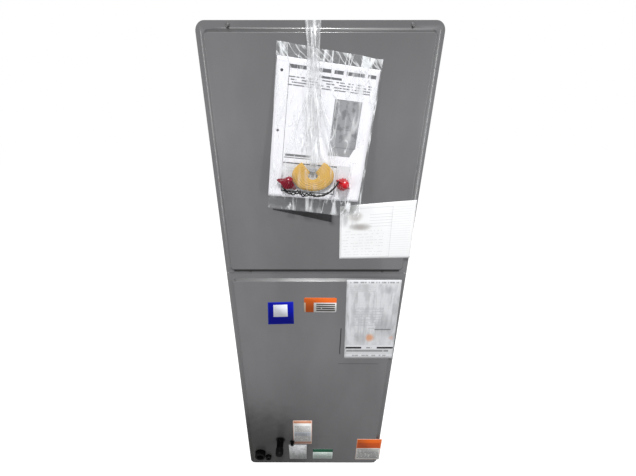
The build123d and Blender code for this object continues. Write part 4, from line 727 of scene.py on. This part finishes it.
def printed(name, ground, marks, rough=0.55, coat=0.0):
    # paper or label stock without lettering: bars, rows of plain dashes, frames and soft blotches, some of
    # which are painted shadow
    stock = Finish(name, ground, rough, Coat_Weight=coat, Specular_IOR_Level=0.15)
    uv = stock.printMap()
    across, up = stock.axes(uv)[:2]
    shade = stock.mix(stock.noise(9.0, 3.0).soft(0.3, 0.8), ground, shaded(ground, 0.93))
    for index, sizes in enumerate(marks):
        kind = sizes["kind"]
        left, low, right, high = sizes["at"]
        inside = (across > left) * (across < right) * (up > low) * (up < high)
        if kind in ("dashes", "rules"):
            line = (up - low) * (sizes["rows"] / (high - low))
        if kind == "rules":
            inside = inside * (line.part() < sizes["fat"])
        elif kind == "dashes":
            inputs = {0: across * sizes["grain"], 1: line.floor() * 3.7 + index, 2: 0.0}
            seed = stock.node("ShaderNodeCombineXYZ", {}, inputs)
            word = stock.noise(1.0, vector=seed) > sizes.get("gap", 0.42)
            inside = inside * ((line.part() - 0.5).size() < sizes.get("fat", 0.2)) * word
        elif kind == "mottle":
            vector = stock.mapped(uv, Scale=(*sizes["scale"], 1))
            inside = inside * stock.noise(1.0, 4.0, vector=vector).soft(*sizes.get("soft", (0.45, 0.7)))
        elif kind == "frame":
            wide = sizes["wide"]
            hollow = (across > left + wide) * (across < right - wide)
            inside = inside - hollow * (up > low + wide) * (up < high - wide)
        elif kind == "cutCorner":
            inside = inside * ((across - left) * sizes["slope"] - (up - low) < sizes["reach"])
        elif kind in ("dot", "smear"):
            offAcross = (across - (left + right) / 2) * (2 / (right - left))
            offUp = (up - (low + high) / 2) * (2 / (high - low))
            reach = offAcross * offAcross + offUp * offUp
            inside = reach < 1.0
            if kind == "smear":
                reach = reach.math("SQRT", reach)
                inside = 1 - (reach + stock.noise(6.0, vector=uv) * 0.7 - 0.35).soft(0.2, 1.0)
        shade = stock.mix(inside * sizes["weight"], shade, sizes["ink"])
    stock.feed("Base Color", shade)
    stock.feed("Roughness", rough + 0.1 * stock.noise(40.0).soft(0.3, 0.8))
    stock.bump(stock.noise(260.0, 4.0), 0.08, 0.0004)
    return stock.material


black, mid, pale = srgb(28, 28, 30), srgb(120, 121, 123), srgb(186, 188, 190)
orange, whole = srgb(212, 96, 30), (0.0, 0.0, 1.0, 1.0)

# stickers and sheets on the doors, with their marks up from the lower left corner
labels = {
    "cornerSheet": {
        "corners": ((56, 1089), (245.5, 1105), (250, 943), (60.6, 940)), "lift": 0.45, "cuts": (30, 26),
        "curl": 0.3, "stock": ("sheetStock", srgb(238, 239, 240)), "rough": 0.6, "coat": 0.0,
        "body": "upper_door",
        "marks": (
            mark("rules", 0.40, 0.60, 0.70, 0.86, pale, 0.8, rows=5, fat=0.10),
            mark("dashes", 0.04, 0.05, 0.60, 0.55, pale, 0.45, rows=9, grain=26, gap=0.5, fat=0.1),
            mark("rules", 0.66, 0.05, 0.96, 0.95, pale, 0.35, rows=22, fat=0.14),
            mark("frame", 0.02, 0.03, 0.70, 0.93, pale, 0.7, wide=0.005),
            # painted shadow: the grey soft blotches toward its upper left stand for the bag's shadow on the
            # sheet
            mark("smear", -0.02, 0.80, 0.26, 1.06, srgb(150, 148, 146), 0.75),
            mark("smear", 0.08, 0.66, 0.34, 0.90, srgb(172, 168, 164), 0.7),
            mark("smear", 0.10, 0.50, 0.44, 0.70, srgb(150, 145, 142), 0.8),
        ),
    },
    "diagramLabel": {
        "corners": ((85, 873), (239, 873), (246, 578), (92.5, 578)), "lift": 0.4, "cuts": (16, 30),
        "stock": ("labelStock", srgb(212, 213, 216)), "coat": 0.1,
        "marks": (
            mark("mottle", 0.0, 0.19, 1.0, 0.95, srgb(150, 151, 154), 0.55, scale=(9, 5), soft=(0.4, 0.7)),
            mark("mottle", 0.0, 0.30, 1.0, 0.86, srgb(132, 133, 136), 0.4, scale=(34, 3), soft=(0.5, 0.7)),
            mark("dashes", 0.05, 0.955, 0.95, 0.985, mid, 0.7, rows=1, grain=12, gap=0.5, fat=0.3),
            mark("dashes", 0.06, 0.86, 0.55, 0.94, pale, 0.8, rows=4, grain=30),
            mark("smear", 0.60, 0.82, 0.98, 0.95, srgb(160, 162, 166), 0.55),
            mark("rules", 0.10, 0.56, 0.90, 0.84, pale, 0.5, rows=16, fat=0.22),
            mark("dashes", 0.16, 0.44, 0.72, 0.68, srgb(170, 172, 176), 0.8, rows=12, grain=22),
            mark("smear", 0.50, 0.22, 1.10, 0.62, srgb(150, 151, 154), 0.5),
            mark("smear", 0.16, 0.16, 0.50, 0.40, srgb(140, 141, 144), 0.5),
            mark("bar", 0.45, 0.412, 0.90, 0.419, mid, 0.5),
            mark("bar", 0.58, 0.392, 0.90, 0.400, srgb(40, 42, 44)),
            mark("dashes", 0.10, 0.18, 0.90, 0.36, pale, 0.6, rows=10, grain=24),
            mark("smear", 0.38, 0.22, 0.62, 0.36, srgb(206, 146, 104), 0.85),
            mark("smear", 0.86, 0.25, 0.99, 0.33, srgb(206, 160, 140), 0.6),
            mark("bar", 0.02, 0.138, 0.34, 0.162, black),
            mark("bar", 0.66, 0.138, 0.99, 0.162, black),
            mark("dashes", 0.34, 0.138, 0.66, 0.162, mid, rows=1, grain=9, gap=0.5, fat=0.3),
            mark("bar", 0.0, 0.06, 1.0, 0.135, srgb(196, 198, 200), 0.8),
            mark("dashes", 0.04, 0.085, 0.90, 0.13, mid, 0.8, rows=1, grain=16, gap=0.4, fat=0.3),
            mark("dashes", 0.16, 0.02, 0.86, 0.06, mid, 0.6, rows=1, grain=14, gap=0.5, fat=0.25),
        ),
    },
    "blueSticker": {
        "corners": ((-140.6, 795.8), (-65.9, 798.3), (-65.6, 717.2), (-143.5, 714.8)), "round": 0.02,
        "stock": ("blueStock", srgb(0, 12, 158)), "rough": 0.7, "coat": 0.0,
        "marks": (
            mark("bar", 0.21, 0.34, 0.76, 0.88, srgb(222, 225, 234)),
            mark("frame", *whole, srgb(40, 58, 176), 0.6, wide=0.03),
        ),
    },
    "twoToneSticker": {
        "corners": ((-35, 812.7), (59.5, 812.0), (59.5, 760), (-35, 761)), "round": 0.06,
        "stock": ("twoToneStickerStock", srgb(232, 232, 230)),
        "marks": (
            mark("bar", 0.0, 0.66, 1.0, 1.0, orange),
            mark("bar", 0.0, 0.0, 0.30, 1.0, orange),
            mark("bar", 0.0, 0.0, 0.05, 0.66, srgb(224, 196, 170)),
            mark("dashes", 0.38, 0.06, 0.96, 0.62, srgb(84, 80, 78), rows=4, grain=16, fat=0.3, gap=0.34),
        ),
    },
    "tallTag": {
        "corners": ((-77.8, 272.4), (-8.3, 272.4), (-8.3, 136.6), (-77.8, 136.6)), "lift": 0.5, "round": 0.03,
        "stock": ("tallTagStock", srgb(242, 242, 240)),
        "marks": (
            mark("frame", *whole, srgb(236, 196, 178), wide=0.025),
            mark("bar", 0.03, 0.885, 0.97, 0.975, srgb(202, 142, 112)),
            mark("bar", 0.03, 0.03, 0.97, 0.11, srgb(204, 150, 130)),
            mark("dashes", 0.08, 0.44, 0.92, 0.78, mid, 0.7, rows=8, grain=18, fat=0.24),
            mark("bar", 0.06, 0.36, 0.94, 0.52, srgb(206, 212, 222), 0.8),
            mark("dashes", 0.08, 0.14, 0.92, 0.46, mid, 0.7, rows=7, grain=16, fat=0.26),
        ),
    },
    "greyTag": {
        "corners": ((-96, 131.5), (-28, 131.5), (-28, 42), (-94, 42)),
        "stock": ("greyTagStock", srgb(196, 197, 198)),
        "marks": (
            mark("mottle", *whole, srgb(140, 141, 142), 0.7, scale=(6, 8)),
            mark("dashes", 0.08, 0.08, 0.92, 0.86, srgb(140, 141, 142), 0.7, rows=9, grain=10, fat=0.16,
                 gap=0.5),
        ),
    },
    "greenTag": {
        "corners": ((-3.4, 104.3), (73.3, 104.3), (73.3, 44.1), (-3.4, 44.1)),
        "stock": ("greenTagStock", srgb(218, 230, 224)),
        "marks": (
            mark("bar", 0.0, 0.68, 1.0, 1.0, srgb(22, 72, 52)),
            mark("dashes", 0.06, 0.08, 0.94, 0.62, srgb(120, 136, 130), 0.7, rows=5, grain=18, fat=0.22),
        ),
    },
    "orangeTag": {
        "corners": ((163, 166.7), (257.5, 166.7), (257.0, 38.6), (163, 38.6)), "lift": 0.6, "round": 0.03,
        "stock": ("orangeTagStock", srgb(246, 246, 244)),
        "marks": (
            mark("bar", 0.0, 0.56, 1.0, 1.0, orange),
            mark("bar", 0.06, 0.60, 0.94, 0.82, srgb(176, 66, 22), 0.6),
            mark("frame", *whole, srgb(226, 188, 168), 0.7, wide=0.02),
            mark("dashes", 0.06, 0.06, 0.94, 0.52, mid, 0.8, rows=7, grain=16, fat=0.26),
        ),
    },
}


def labelSpot(sizes):
    def spot(across, down):
        curl = sizes.get("curl", 0) * max(0, math.sin(across * 7 + (1 - down) * 3)) * down
        return onField(*between(sizes["corners"], across, down), sizes.get("lift", 0.35) + curl)
    return spot


for name, sizes in labels.items():
    finish = printed(*sizes["stock"], sizes["marks"], sizes.get("rough", 0.45), sizes.get("coat", 0.15))
    bm = laidGrid(sizes.get("cuts", (1, 1)), labelSpot(sizes), sizes.get("round", 0))
    thicken(keep(bm, name, finish, sizes.get("body", "lower_door")), 0.2)
print("labels")

# clear bag on the upper door: a closed film shell round the papers
bag = {
    "corners": ((-87.5, 1437.5), (130.5, 1404.5), (104.0, 1058.0), (-123.0, 1086.0)), "cuts": (64, 96),
    "belly": 3.5, "sag": 5, "foot": (13.0, 23.0), "start": 1.0, "rise": 0.4, "hem": 1.6,
    "left": -105, "wide": 222, "top": 1410, "tall": 300,
}


def leanAt(across, down):
    # how far the small parts push the papers out from the door, most at the lower right
    low, high = bag["foot"]
    return bag["start"] + (low + (high - low) * across) * max(0.0, down) ** 1.3


def leanBy(x, z):
    return leanAt((x - bag["left"]) / bag["wide"], (bag["top"] - z) / bag["tall"])


def ramp(value, low, span):
    return min(1, max(0, (value - low) / span))


def drift(x, y, z):
    return noise.noise(Vector((x, y, z)))


def creased(across, down):
    # folds that fan out from where the tape gathers the film, and looser crumples across them
    angle = math.atan2((across - 0.36) * 0.66, down + 0.1)
    fan = math.sin(angle * 38 + 5 * drift(angle * 7, down * 3, 3))
    crumple = drift(across * 9, down * 12, 7) + 0.5 * drift(across * 22, down * 26, 1)
    top = math.exp(-((down - 0.04) / 0.07) ** 2)
    return (0.7 * fan + 1.5 * crumple) * (0.55 + 1.2 * top)


def filmFinish(name, clear, white, streaks, sparkle=0.5, body=(0.9, 0.92, 0.94), calm=None, head=None):
    # thin clear film: nearly invisible where it lies flat, white along its sparse creases (partly their own
    # whitening, partly painted highlight), which are given as (across, down, turn, thinness, patch size)
    film = Finish(name, body, 0.14, 0.0, IOR=1.38)
    uv = film.printMap()
    up = film.axes(uv)[1]
    bright = 0.0
    for index, (wide, long, turn, thin, part) in enumerate(streaks):
        placed = film.mapped(uv, Location=(index * 3.7, 0, 0), Rotation=(0, 0, turn), Scale=(wide, long, 1))
        line = 1 - ((film.noise(1.0, 2.0, vector=placed) - 0.5).size() * 2).soft(0.0, thin)
        bright = line * film.noise(part, 1.0, vector=uv).soft(0.42, 0.66) + bright
    if head:
        placed = film.mapped(film.mapped(uv, Scale=(0.64, 1, 1)), {"vector_type": "TEXTURE"},
                             Rotation=(0, 0, 0.87), Scale=(0.045, 0.2, 1))
        fold = 1 - ((film.noise(1.0, 2.0, vector=placed) - 0.5).size() * 2).soft(0.0, 0.12)
        bright = bright + fold * up.soft(*head) * 0.45
    if calm:
        least, level = calm
        bright = bright * (least + (1 - least) * up.soft(level - 0.08, level + 0.08))
    bright = bright.math("MINIMUM", bright, 1.0)
    # whitening and painted highlight: the film turns opaque white along the creases and folds
    film.feed("Alpha", clear + (white - clear) * bright)
    film.feed("Roughness", 0.1 + 0.25 * bright)
    film.bump(bright, sparkle, 0.0015)
    film.material.surface_render_method = "DITHERED"
    return film.material


def filmSpot(swollen):
    def spot(across, down):
        flat = between(bag["corners"], across, down)
        edge = max(0.0, min(across, 1 - across, down * 1.4, (1 - down) * 1.4)) * 2
        swell = min(1.0, edge * 5) ** 0.5
        rise = leanAt(across, down) + bag["rise"]
        if swollen:
            sag = bag["sag"] * ramp(down, 0.6, 0.2)
            rise += swell * (bag["belly"] + sag + max(-1.2, creased(across, down)))
        hem = bag["hem"] * drift(across * 6, down * 7, 5) * (1 - swell)
        return onSight(flat.x + hem, flat.y + hem, rise)
    return spot


bm = laidGrid(bag["cuts"], filmSpot(True))
rear = laidGrid(bag["cuts"], filmSpot(False))
bmesh.ops.reverse_faces(rear, faces=rear.faces)
mesh = bpy.data.meshes.new("rearFilm")
rear.to_mesh(mesh)
rear.free()
bm.from_mesh(mesh)
bpy.data.meshes.remove(mesh)
bmesh.ops.remove_doubles(bm, verts=bm.verts, dist=0.00003)
bagStreaks = ((5, 1.4, 0.5, 0.10, 4), (6, 1.6, -0.6, 0.08, 5), (9, 3, 0.1, 0.05, 6))
bagFilm = filmFinish("clearFilm", 0.05, 0.66, bagStreaks, head=(0.9, 0.95))
keep(bm, "filmBag", bagFilm, "upper_door", "literature_bag", 60)

# the papers inside it
papers = {
    "corners": ((-87.6, 1412.7), (126.9, 1385.4), (99.9, 1099.4), (-121.7, 1116.2)), "cuts": (24, 40),
    "thick": 1.2, "rise": 2.2, "bow": 0.7,
    "title": ((0.12, 0.29), (0.32, 0.53), (0.56, 0.65), (0.68, 0.86), (0.89, 0.97)),
}
paperMarks = (
    *(mark("bar", low, 0.936, high, 0.960, srgb(48, 49, 54), 0.9) for low, high in papers["title"]),
    mark("dashes", 0.40, 0.896, 0.64, 0.914, srgb(88, 89, 94), rows=1, grain=12, fat=0.42, gap=0.3),
    mark("dashes", 0.12, 0.822, 0.94, 0.892, srgb(104, 105, 110), rows=4, grain=22, fat=0.22, gap=0.45),
    mark("bar", 0.124, 0.12, 0.129, 0.965, srgb(112, 112, 116)),
    mark("dot", 0.040, 0.905, 0.068, 0.925, srgb(50, 50, 54)),
    mark("dot", 0.040, 0.505, 0.068, 0.525, srgb(50, 50, 54)),
    mark("cutCorner", 0.60, 0.365, 0.875, 0.775, srgb(140, 141, 144), slope=1.6, reach=0.36),
    mark("mottle", 0.61, 0.47, 0.865, 0.765, srgb(84, 85, 88), 0.6, scale=(16, 20), soft=(0.48, 0.62)),
    mark("frame", 0.60, 0.43, 0.875, 0.775, srgb(100, 101, 104), wide=0.004),
    mark("bar", 0.62, 0.565, 0.82, 0.570, srgb(108, 109, 112)),
    mark("dashes", 0.15, 0.330, 0.42, 0.352, srgb(50, 50, 54), rows=1, grain=12, fat=0.4, gap=0.3),
    mark("bar", 0.14, 0.318, 0.42, 0.325, srgb(60, 60, 64)),
    mark("frame", 0.135, 0.045, 0.72, 0.285, srgb(34, 34, 38), wide=0.012),
    mark("bar", 0.71, 0.15, 0.875, 0.292, srgb(206, 207, 210)),
    mark("bar", 0.14, 0.06, 0.70, 0.275, srgb(212, 213, 216)),
    mark("dashes", 0.14, 0.08, 0.66, 0.25, pale, 0.7, rows=8, grain=18, fat=0.2, gap=0.48),
)


def paperSpot(across, down):
    flat = between(papers["corners"], across, down)
    return onSight(*flat, leanAt(across, down) + papers["rise"] + papers["bow"] * math.sin(across * 3.0))


manual = printed("manualPaper", srgb(232, 232, 237), paperMarks, 0.65)
leaf = keep(laidGrid(papers["cuts"], paperSpot), "paperStack", manual, "upper_door",
            "instruction_sheets")
thicken(leaf, papers["thick"])
print("papers")

# inner pouch, gathered under the tape, that holds the small parts; its line is (x, z, half width)
pouch = {"cuts": (60, 60), "apex": (-12.0, 1338.0, 15.0), "shoulder": (-15.0, 1210.0, 64.0),
         "foot": (-17.0, 1112.0, 67.0), "waist": 0.55, "slant": 0.09, "rise": 4.6, "swell": 1.5, "belly": 12}


def pouchSpot(across, down):
    apex, shoulder, foot = (Vector(pouch[key]) for key in ("apex", "shoulder", "foot"))
    waist = pouch["waist"]
    if down < waist:
        share = down / waist
        flat = apex.lerp(shoulder, share)
        flat.z = apex.z + (shoulder.z - apex.z) * share ** 0.9
    else:
        flat = shoulder.lerp(foot, (down - waist) / (1 - waist))
    out = (across - 0.5) * 2 * flat.z
    x, z = flat.x + out, flat.y - out * pouch["slant"]
    edge = min(1.0, min(across, 1 - across) * 8, (1 - down) * 10)
    pleat = 0.9 * math.cos((across - 0.5) * 44 + 2 * drift(across * 5, down * 3, 9)) * (1 - 0.55 * down)
    belly = pouch["belly"] * ramp(down, 0.35, 0.25) * math.sin(math.pi * across) ** 0.35
    full = pouch["swell"] + belly + pleat + 1.6 * drift(across * 7, down * 6, 2)
    return onSight(x, z, leanBy(x, z) + pouch["rise"] + edge * full)


pouchStreaks = ((7, 0.5, 0.0, 0.16, 3), (13, 0.7, 0.03, 0.10, 4), (4, 5, 0.7, 0.04, 5))
pouchFilm = filmFinish("pouchFilm", 0.10, 0.85, pouchStreaks, 0.7, calm=(0.22, 0.46))
keep(laidGrid(pouch["cuts"], pouchSpot), "partsPouch", pouchFilm, "upper_door", None, 60)

# curled yellow sealing strip: ridges side by side, bent into an open ring
strip = {"x": -12.5, "z": 1164.0, "inner": 11.0, "outer": 48.0, "deep": 7.5, "open": 62.0,
         "stretch": (1.04, 0.78), "ridges": 6, "swell": 0.16, "rise": 6.4}


def yellowStrip():
    bm = bmesh.new()
    wide = (strip["outer"] - strip["inner"]) / 2
    for vert in bmesh.ops.create_circle(bm, cap_ends=True, segments=72, radius=1.0)["verts"]:
        angle = math.atan2(vert.co.y, vert.co.x)
        bulge = 1 + strip["swell"] * math.cos(math.cos(angle) * strip["ridges"] * math.pi)
        half = strip["deep"] / 2
        vert.co = Vector((strip["inner"] + wide + wide * math.cos(angle), -half * math.sin(angle) * bulge, 0))
    start = Matrix.Rotation(-math.radians(90 - strip["open"] / 2), 3, "Y")
    bmesh.ops.rotate(bm, verts=bm.verts, cent=(0, 0, 0), matrix=start)
    whole = bm.verts[:] + bm.edges[:] + bm.faces[:]
    bmesh.ops.spin(bm, geom=whole, cent=(0, 0, 0), axis=toBack, dvec=(0, 0, 0),
                   angle=math.radians(360 - strip["open"]), steps=60, use_duplicate=False)
    outward(bm)
    for vert in bm.verts:
        wave = 1 + 0.04 * noise.noise(vert.co * 0.05)
        x = strip["x"] + vert.co.x * strip["stretch"][0] * wave
        z = strip["z"] + vert.co.z * strip["stretch"][1] * wave
        vert.co = onSight(x, z, leanBy(x, z) + strip["rise"] + strip["deep"] / 2 - vert.co.y)
    return bm


foam = moulded("yellowFoam", srgb(190, 146, 8), 0.6, 240.0, 0.3, 0.2)
keep(yellowStrip(), "yellowStrip", foam, "upper_door", "sealing_strip", 50)

# red wire caps: ribbed, with wings, the right one lying with its open end to the front
capSizes = {"base": 10.5, "tip": 5.0, "half": 12.5, "ribs": 14, "ribbed": 0.09, "core": 7.3, "rise": 17}
capSpots = {
    "leftCap": {"x": -72.0, "z": 1150.0, "roll": 28.0, "pitch": 58.0, "scale": 1.12, "wings": 0.95,
                "ink": srgb(128, 4, 34), "node": "wire_caps"},
    "rightCap": {"x": 63.5, "z": 1143.0, "roll": 35.0, "pitch": 14.0, "scale": 1.32, "wings": 0.3,
                 "ink": srgb(178, 8, 28), "node": None},
}


def redCap(spot):
    # stands on its base along z, is then tipped forward and turned, and laid in the pouch
    half, base, tip = capSizes["half"], capSizes["base"], capSizes["tip"]
    outline = [(0.0, -half + 6), (6.4, -half + 5), (7.2, -half + 0.6), (8.6, -half), (base, -half + 1.2),
               (base * 0.96, -half + 7), (tip + 2.4, half - 7), (tip + 0.8, half - 2), (2.6, half - 0.2),
               (0.0, half)]
    bm = outward(turned(outline, (0, 0, 0), toTop, capSizes["ribs"] * 4))
    tipped = Matrix.Rotation(math.radians(spot["roll"]), 3, "Y")
    tipped = tipped @ Matrix.Rotation(math.radians(90 - spot["pitch"]), 3, "X")
    centre = onSight(spot["x"], spot["z"], leanBy(spot["x"], spot["z"]) + capSizes["rise"])
    for vert in bm.verts:
        x, y, z = vert.co / mm
        if math.hypot(x, y) > capSizes["core"]:
            turn = math.atan2(y, x)
            wing = spot["wings"] * abs(math.cos(turn)) ** 40 * ramp(half * 0.4 - z, 0, 8)
            share = (1 + capSizes["ribbed"] * math.cos(turn * capSizes["ribs"])) * (1 + wing)
            x, y = x * share, y * share
        vert.co = tipped @ Vector((x, y, z)) * spot["scale"] * mm + centre
    return bm


for name, spot in capSpots.items():
    shine = moulded(name + "Plastic", spot["ink"], 0.25, 300.0, 0.1, 0.5)
    keep(redCap(spot), name, shine, "upper_door", spot["node"], 35)

# black twist tie lying along the foot of the pouch, its route as (x, z, rise)
tie = {
    "route": ((-86, 1139, 9), (-78, 1127, 12), (-62, 1121, 15), (-46, 1126, 17), (-36, 1117, 18),
              (-20, 1119, 18), (-4, 1114, 18), (14, 1116, 18), (30, 1125, 18), (42, 1137, 17),
              (50, 1150, 15)),
    "radius": 1.45, "twist": 4.6, "turns": 5.2, "loose": 0.3, "steps": 6, "rise": 2, "phases": (0.0, math.pi),
}


def strand(phase):
    # one wire of the pair, as a tube round a smooth line
    line = bpy.data.curves.new("tieLine", "CURVE")
    line.dimensions = "3D"
    spline = line.splines.new("NURBS")
    last = len(tie["route"]) - 2
    count = (last + 1) * tie["steps"]
    spline.points.add(count)
    for index in range(count + 1):
        at = index / tie["steps"]
        leg = min(int(at), last)
        x, z, rise = Vector(tie["route"][leg]).lerp(Vector(tie["route"][leg + 1]), at - leg)
        turn = at * tie["turns"] + phase
        loose = tie["twist"] * (0.35 + 0.65 * math.sin(math.pi * at / 6) if at < 6 else tie["loose"])
        rise += leanBy(x, z) + tie["rise"] + loose * math.cos(turn) * 0.5
        spot = onSight(x + loose * 0.4 * math.cos(turn), z + loose * math.sin(turn), rise)
        spline.points[index].co = (*spot, 1)
    spline.order_u = 3
    spline.use_endpoint_u = True
    line.bevel_depth = tie["radius"] * mm
    line.bevel_resolution = 3
    line.use_fill_caps = True
    holder = bpy.data.objects.new("tieLine", line)
    bm = bmesh.new()
    bm.from_mesh(bpy.data.meshes.new_from_object(holder))
    bpy.data.objects.remove(holder)
    return bm


tieRubber = softRubber("tieSleeve", srgb(16, 16, 17))
for name, phase in zip(("tieLeft", "tieRight"), tie["phases"]):
    keep(strand(phase), name, tieRubber, "upper_door", None, 60)
print("small parts")

# strip of clear tape from the top flange down over the bag; it leaves the flange at "fold", meets the
# door's field at "field" and climbs the bag from "bag" down
tape = {"x": -14.5, "wide": 33.0, "cuts": (24, 140), "top": 1471.5, "low": 1194.0, "thick": 0.1,
        "fold": 1460, "field": 1448, "bag": 1432, "climb": 20, "neck": 1418, "neckSpan": 38,
        "gather": 1425, "gatherSpan": 50, "fall": 330, "back": -7.0, "off": 1.0, "lift": 0.9}


def tapeSpot(across, down):
    z = tape["top"] + (tape["low"] - tape["top"]) * down
    narrow = 1 - 0.2 * math.exp(-((z - tape["neck"]) / tape["neckSpan"]) ** 2)
    x = tape["x"] + 3 * math.sin(down * 2.2) + (across - 0.5) * tape["wide"] * narrow
    if z > tape["fold"]:
        rise = tape["back"]
    elif z > tape["field"]:
        share = (tape["fold"] - z) / (tape["fold"] - tape["field"])
        rise = tape["back"] + (tape["off"] - tape["back"]) * share
    else:
        share = (tape["gather"] - z) / tape["fall"]
        over = leanAt((x - bag["left"]) / bag["wide"], share) + 2 + bag["belly"]
        over += bag["sag"] * ramp(share, 0.55, 0.2)
        rise = tape["off"] + ramp(tape["bag"] - z, 0, tape["climb"]) * over
    gather = math.exp(-((z - tape["gather"]) / tape["gatherSpan"]) ** 2)
    rise += (0.5 + 0.9 * gather) * math.sin(across * 24 + z * 0.03) + 0.5 * drift(x * 0.2, z * 0.05, 2)
    return onSight(x, z, rise + tape["lift"])


tapeStreaks = ((3.2, 2.2, 0.03, 0.16, 3), (6, 4, -0.03, 0.12, 5), (3, 16, 0.8, 0.05, 6))
tapeFilm = filmFinish("clearTape", 0.14, 0.9, tapeStreaks, 0.8, (0.93, 0.94, 0.96))
band = keep(laidGrid(tape["cuts"], tapeSpot), "tapeStrip", tapeFilm, "upper_door", "hanging_tape", 60)
thicken(band, tape["thick"])

# a dark, nearly opaque film at the bag's foot is painted shadow: it stands for the wedge of shade under the
# bag's lifted foot, which widens to the right
hem = {"corners": ((-112.0, 1083.0), (36.0, 1066.0), (36.0, 1046.0), (-112.0, 1080.0)), "cuts": (40, 6),
       "lift": 1.0}


def shadowWedgeSpot(across, down):
    flat = between(hem["corners"], across, down)
    waved = flat.y + 0.5 * drift(across * 12, down * 3, 8)
    return onField(flat.x, waved, hem["lift"] + 0.6 * math.sin(math.pi * down))


# painted shadow: dark grey film, mostly opaque
shadowWedgeFilm = Finish("paintedShadowWedge", srgb(38, 38, 40), 0.5, 0.0, Alpha=0.84)
shadowWedgeFilm.feed("Roughness", 0.4 + 0.3 * shadowWedgeFilm.noise(80.0, 3.0))
shadowWedgeFilm.material.surface_render_method = "DITHERED"
keep(laidGrid(hem["cuts"], shadowWedgeSpot), "bagShadowWedge", shadowWedgeFilm.material, "upper_door", None, 60)

# grey clip on the strip: a bar and the tongue under it
clip = {"x": -12.0, "z": 1181.0, "lean": (0.42, 0.76), "rise": 11.0,
        "bar": ((-9.0, -2.6, -2.4), (9.0, 2.6, 2.4)), "tongue": ((-4.0, -2.0, -8.0), (4.0, 2.0, -2.0))}
bm = bmesh.new()
centre = onSight(clip["x"], clip["z"], leanAt(*clip["lean"]) + clip["rise"]) / mm
for key in ("bar", "tongue"):
    low, high = clip[key]
    block(bm, centre + Vector(low), centre + Vector(high), 1.0)
clipPlastic = moulded("greyClip", srgb(150, 152, 156), 0.35)
keep(outward(bm), "stripClip", clipPlastic, "upper_door", None, 35)
print("bag and tape")


def whiteStage():
    # to the camera the floor glows up to white where nothing shades it
    paint = Finish("paleFloor", (0.32, 0.32, 0.32), 0.9, Specular_IOR_Level=0.0)
    paint.feed("Emission Color", paint.mix(paint.ray("Camera"), (0, 0, 0), (0.93, 0.93, 0.93)))
    paint.set("Emission Strength", 1.0)
    bm = bmesh.new()
    bmesh.ops.create_grid(bm, x_segments=1, y_segments=1, size=9.0)
    for vert in bm.verts:
        vert.co.z = -0.0005
    mesh = bpy.data.meshes.new("floor")
    bm.to_mesh(mesh)
    bm.free()
    floor = bpy.data.objects.new("floor", mesh)
    bpy.context.scene.collection.objects.link(floor)
    mesh.materials.append(paint.material)


def whiteWorld():
    # white where it is seen directly or through film, dimmer as a light and in reflections
    world = bpy.data.worlds.new("softWorld")
    bpy.context.scene.world = world
    air = Shading(world, "Background")
    air.set("Color", (1, 1, 1, 1))
    seen = air.ray("Glossy") * sky["shine"] + (air.ray("Camera") + air.ray("Transmission"))
    air.feed("Strength", air.node("ShaderNodeMapRange", {}, {0: seen, 3: sky["level"], 4: 1.0}))


def lamp(name, sizes):
    data = bpy.data.lights.new(name, "AREA")
    data.shape = "RECTANGLE"
    data.energy = sizes["power"]
    data.size, data.size_y = sizes["size"]
    spot, aim = Vector(sizes["spot"]), Vector(sizes["aim"])
    thing = bpy.data.objects.new(name, data)
    thing.location = spot * mm
    thing.rotation_euler = (aim - spot).to_track_quat("-Z", "Y").to_euler()
    bpy.context.scene.collection.objects.link(thing)


def standCamera():
    data = bpy.data.cameras.new("view")
    data.lens = camera["lens"]
    data.sensor_width = camera["sensor"]
    data.sensor_fit = "HORIZONTAL"
    data.shift_x, data.shift_y = camera["shift"]
    data.clip_start = camera["near"]
    view = bpy.data.objects.new("view", data)
    view.location = Vector(camera["spot"]) * mm
    view.rotation_euler = (math.radians(camera["tilt"]), 0, math.radians(camera["turn"]))
    bpy.context.scene.collection.objects.link(view)
    bpy.context.scene.camera = view


whiteStage()
whiteWorld()
for name, sizes in lamps.items():
    lamp(name, sizes)
standCamera()
bpy.context.scene.view_settings.view_transform = "Standard"
print("stage and camera")
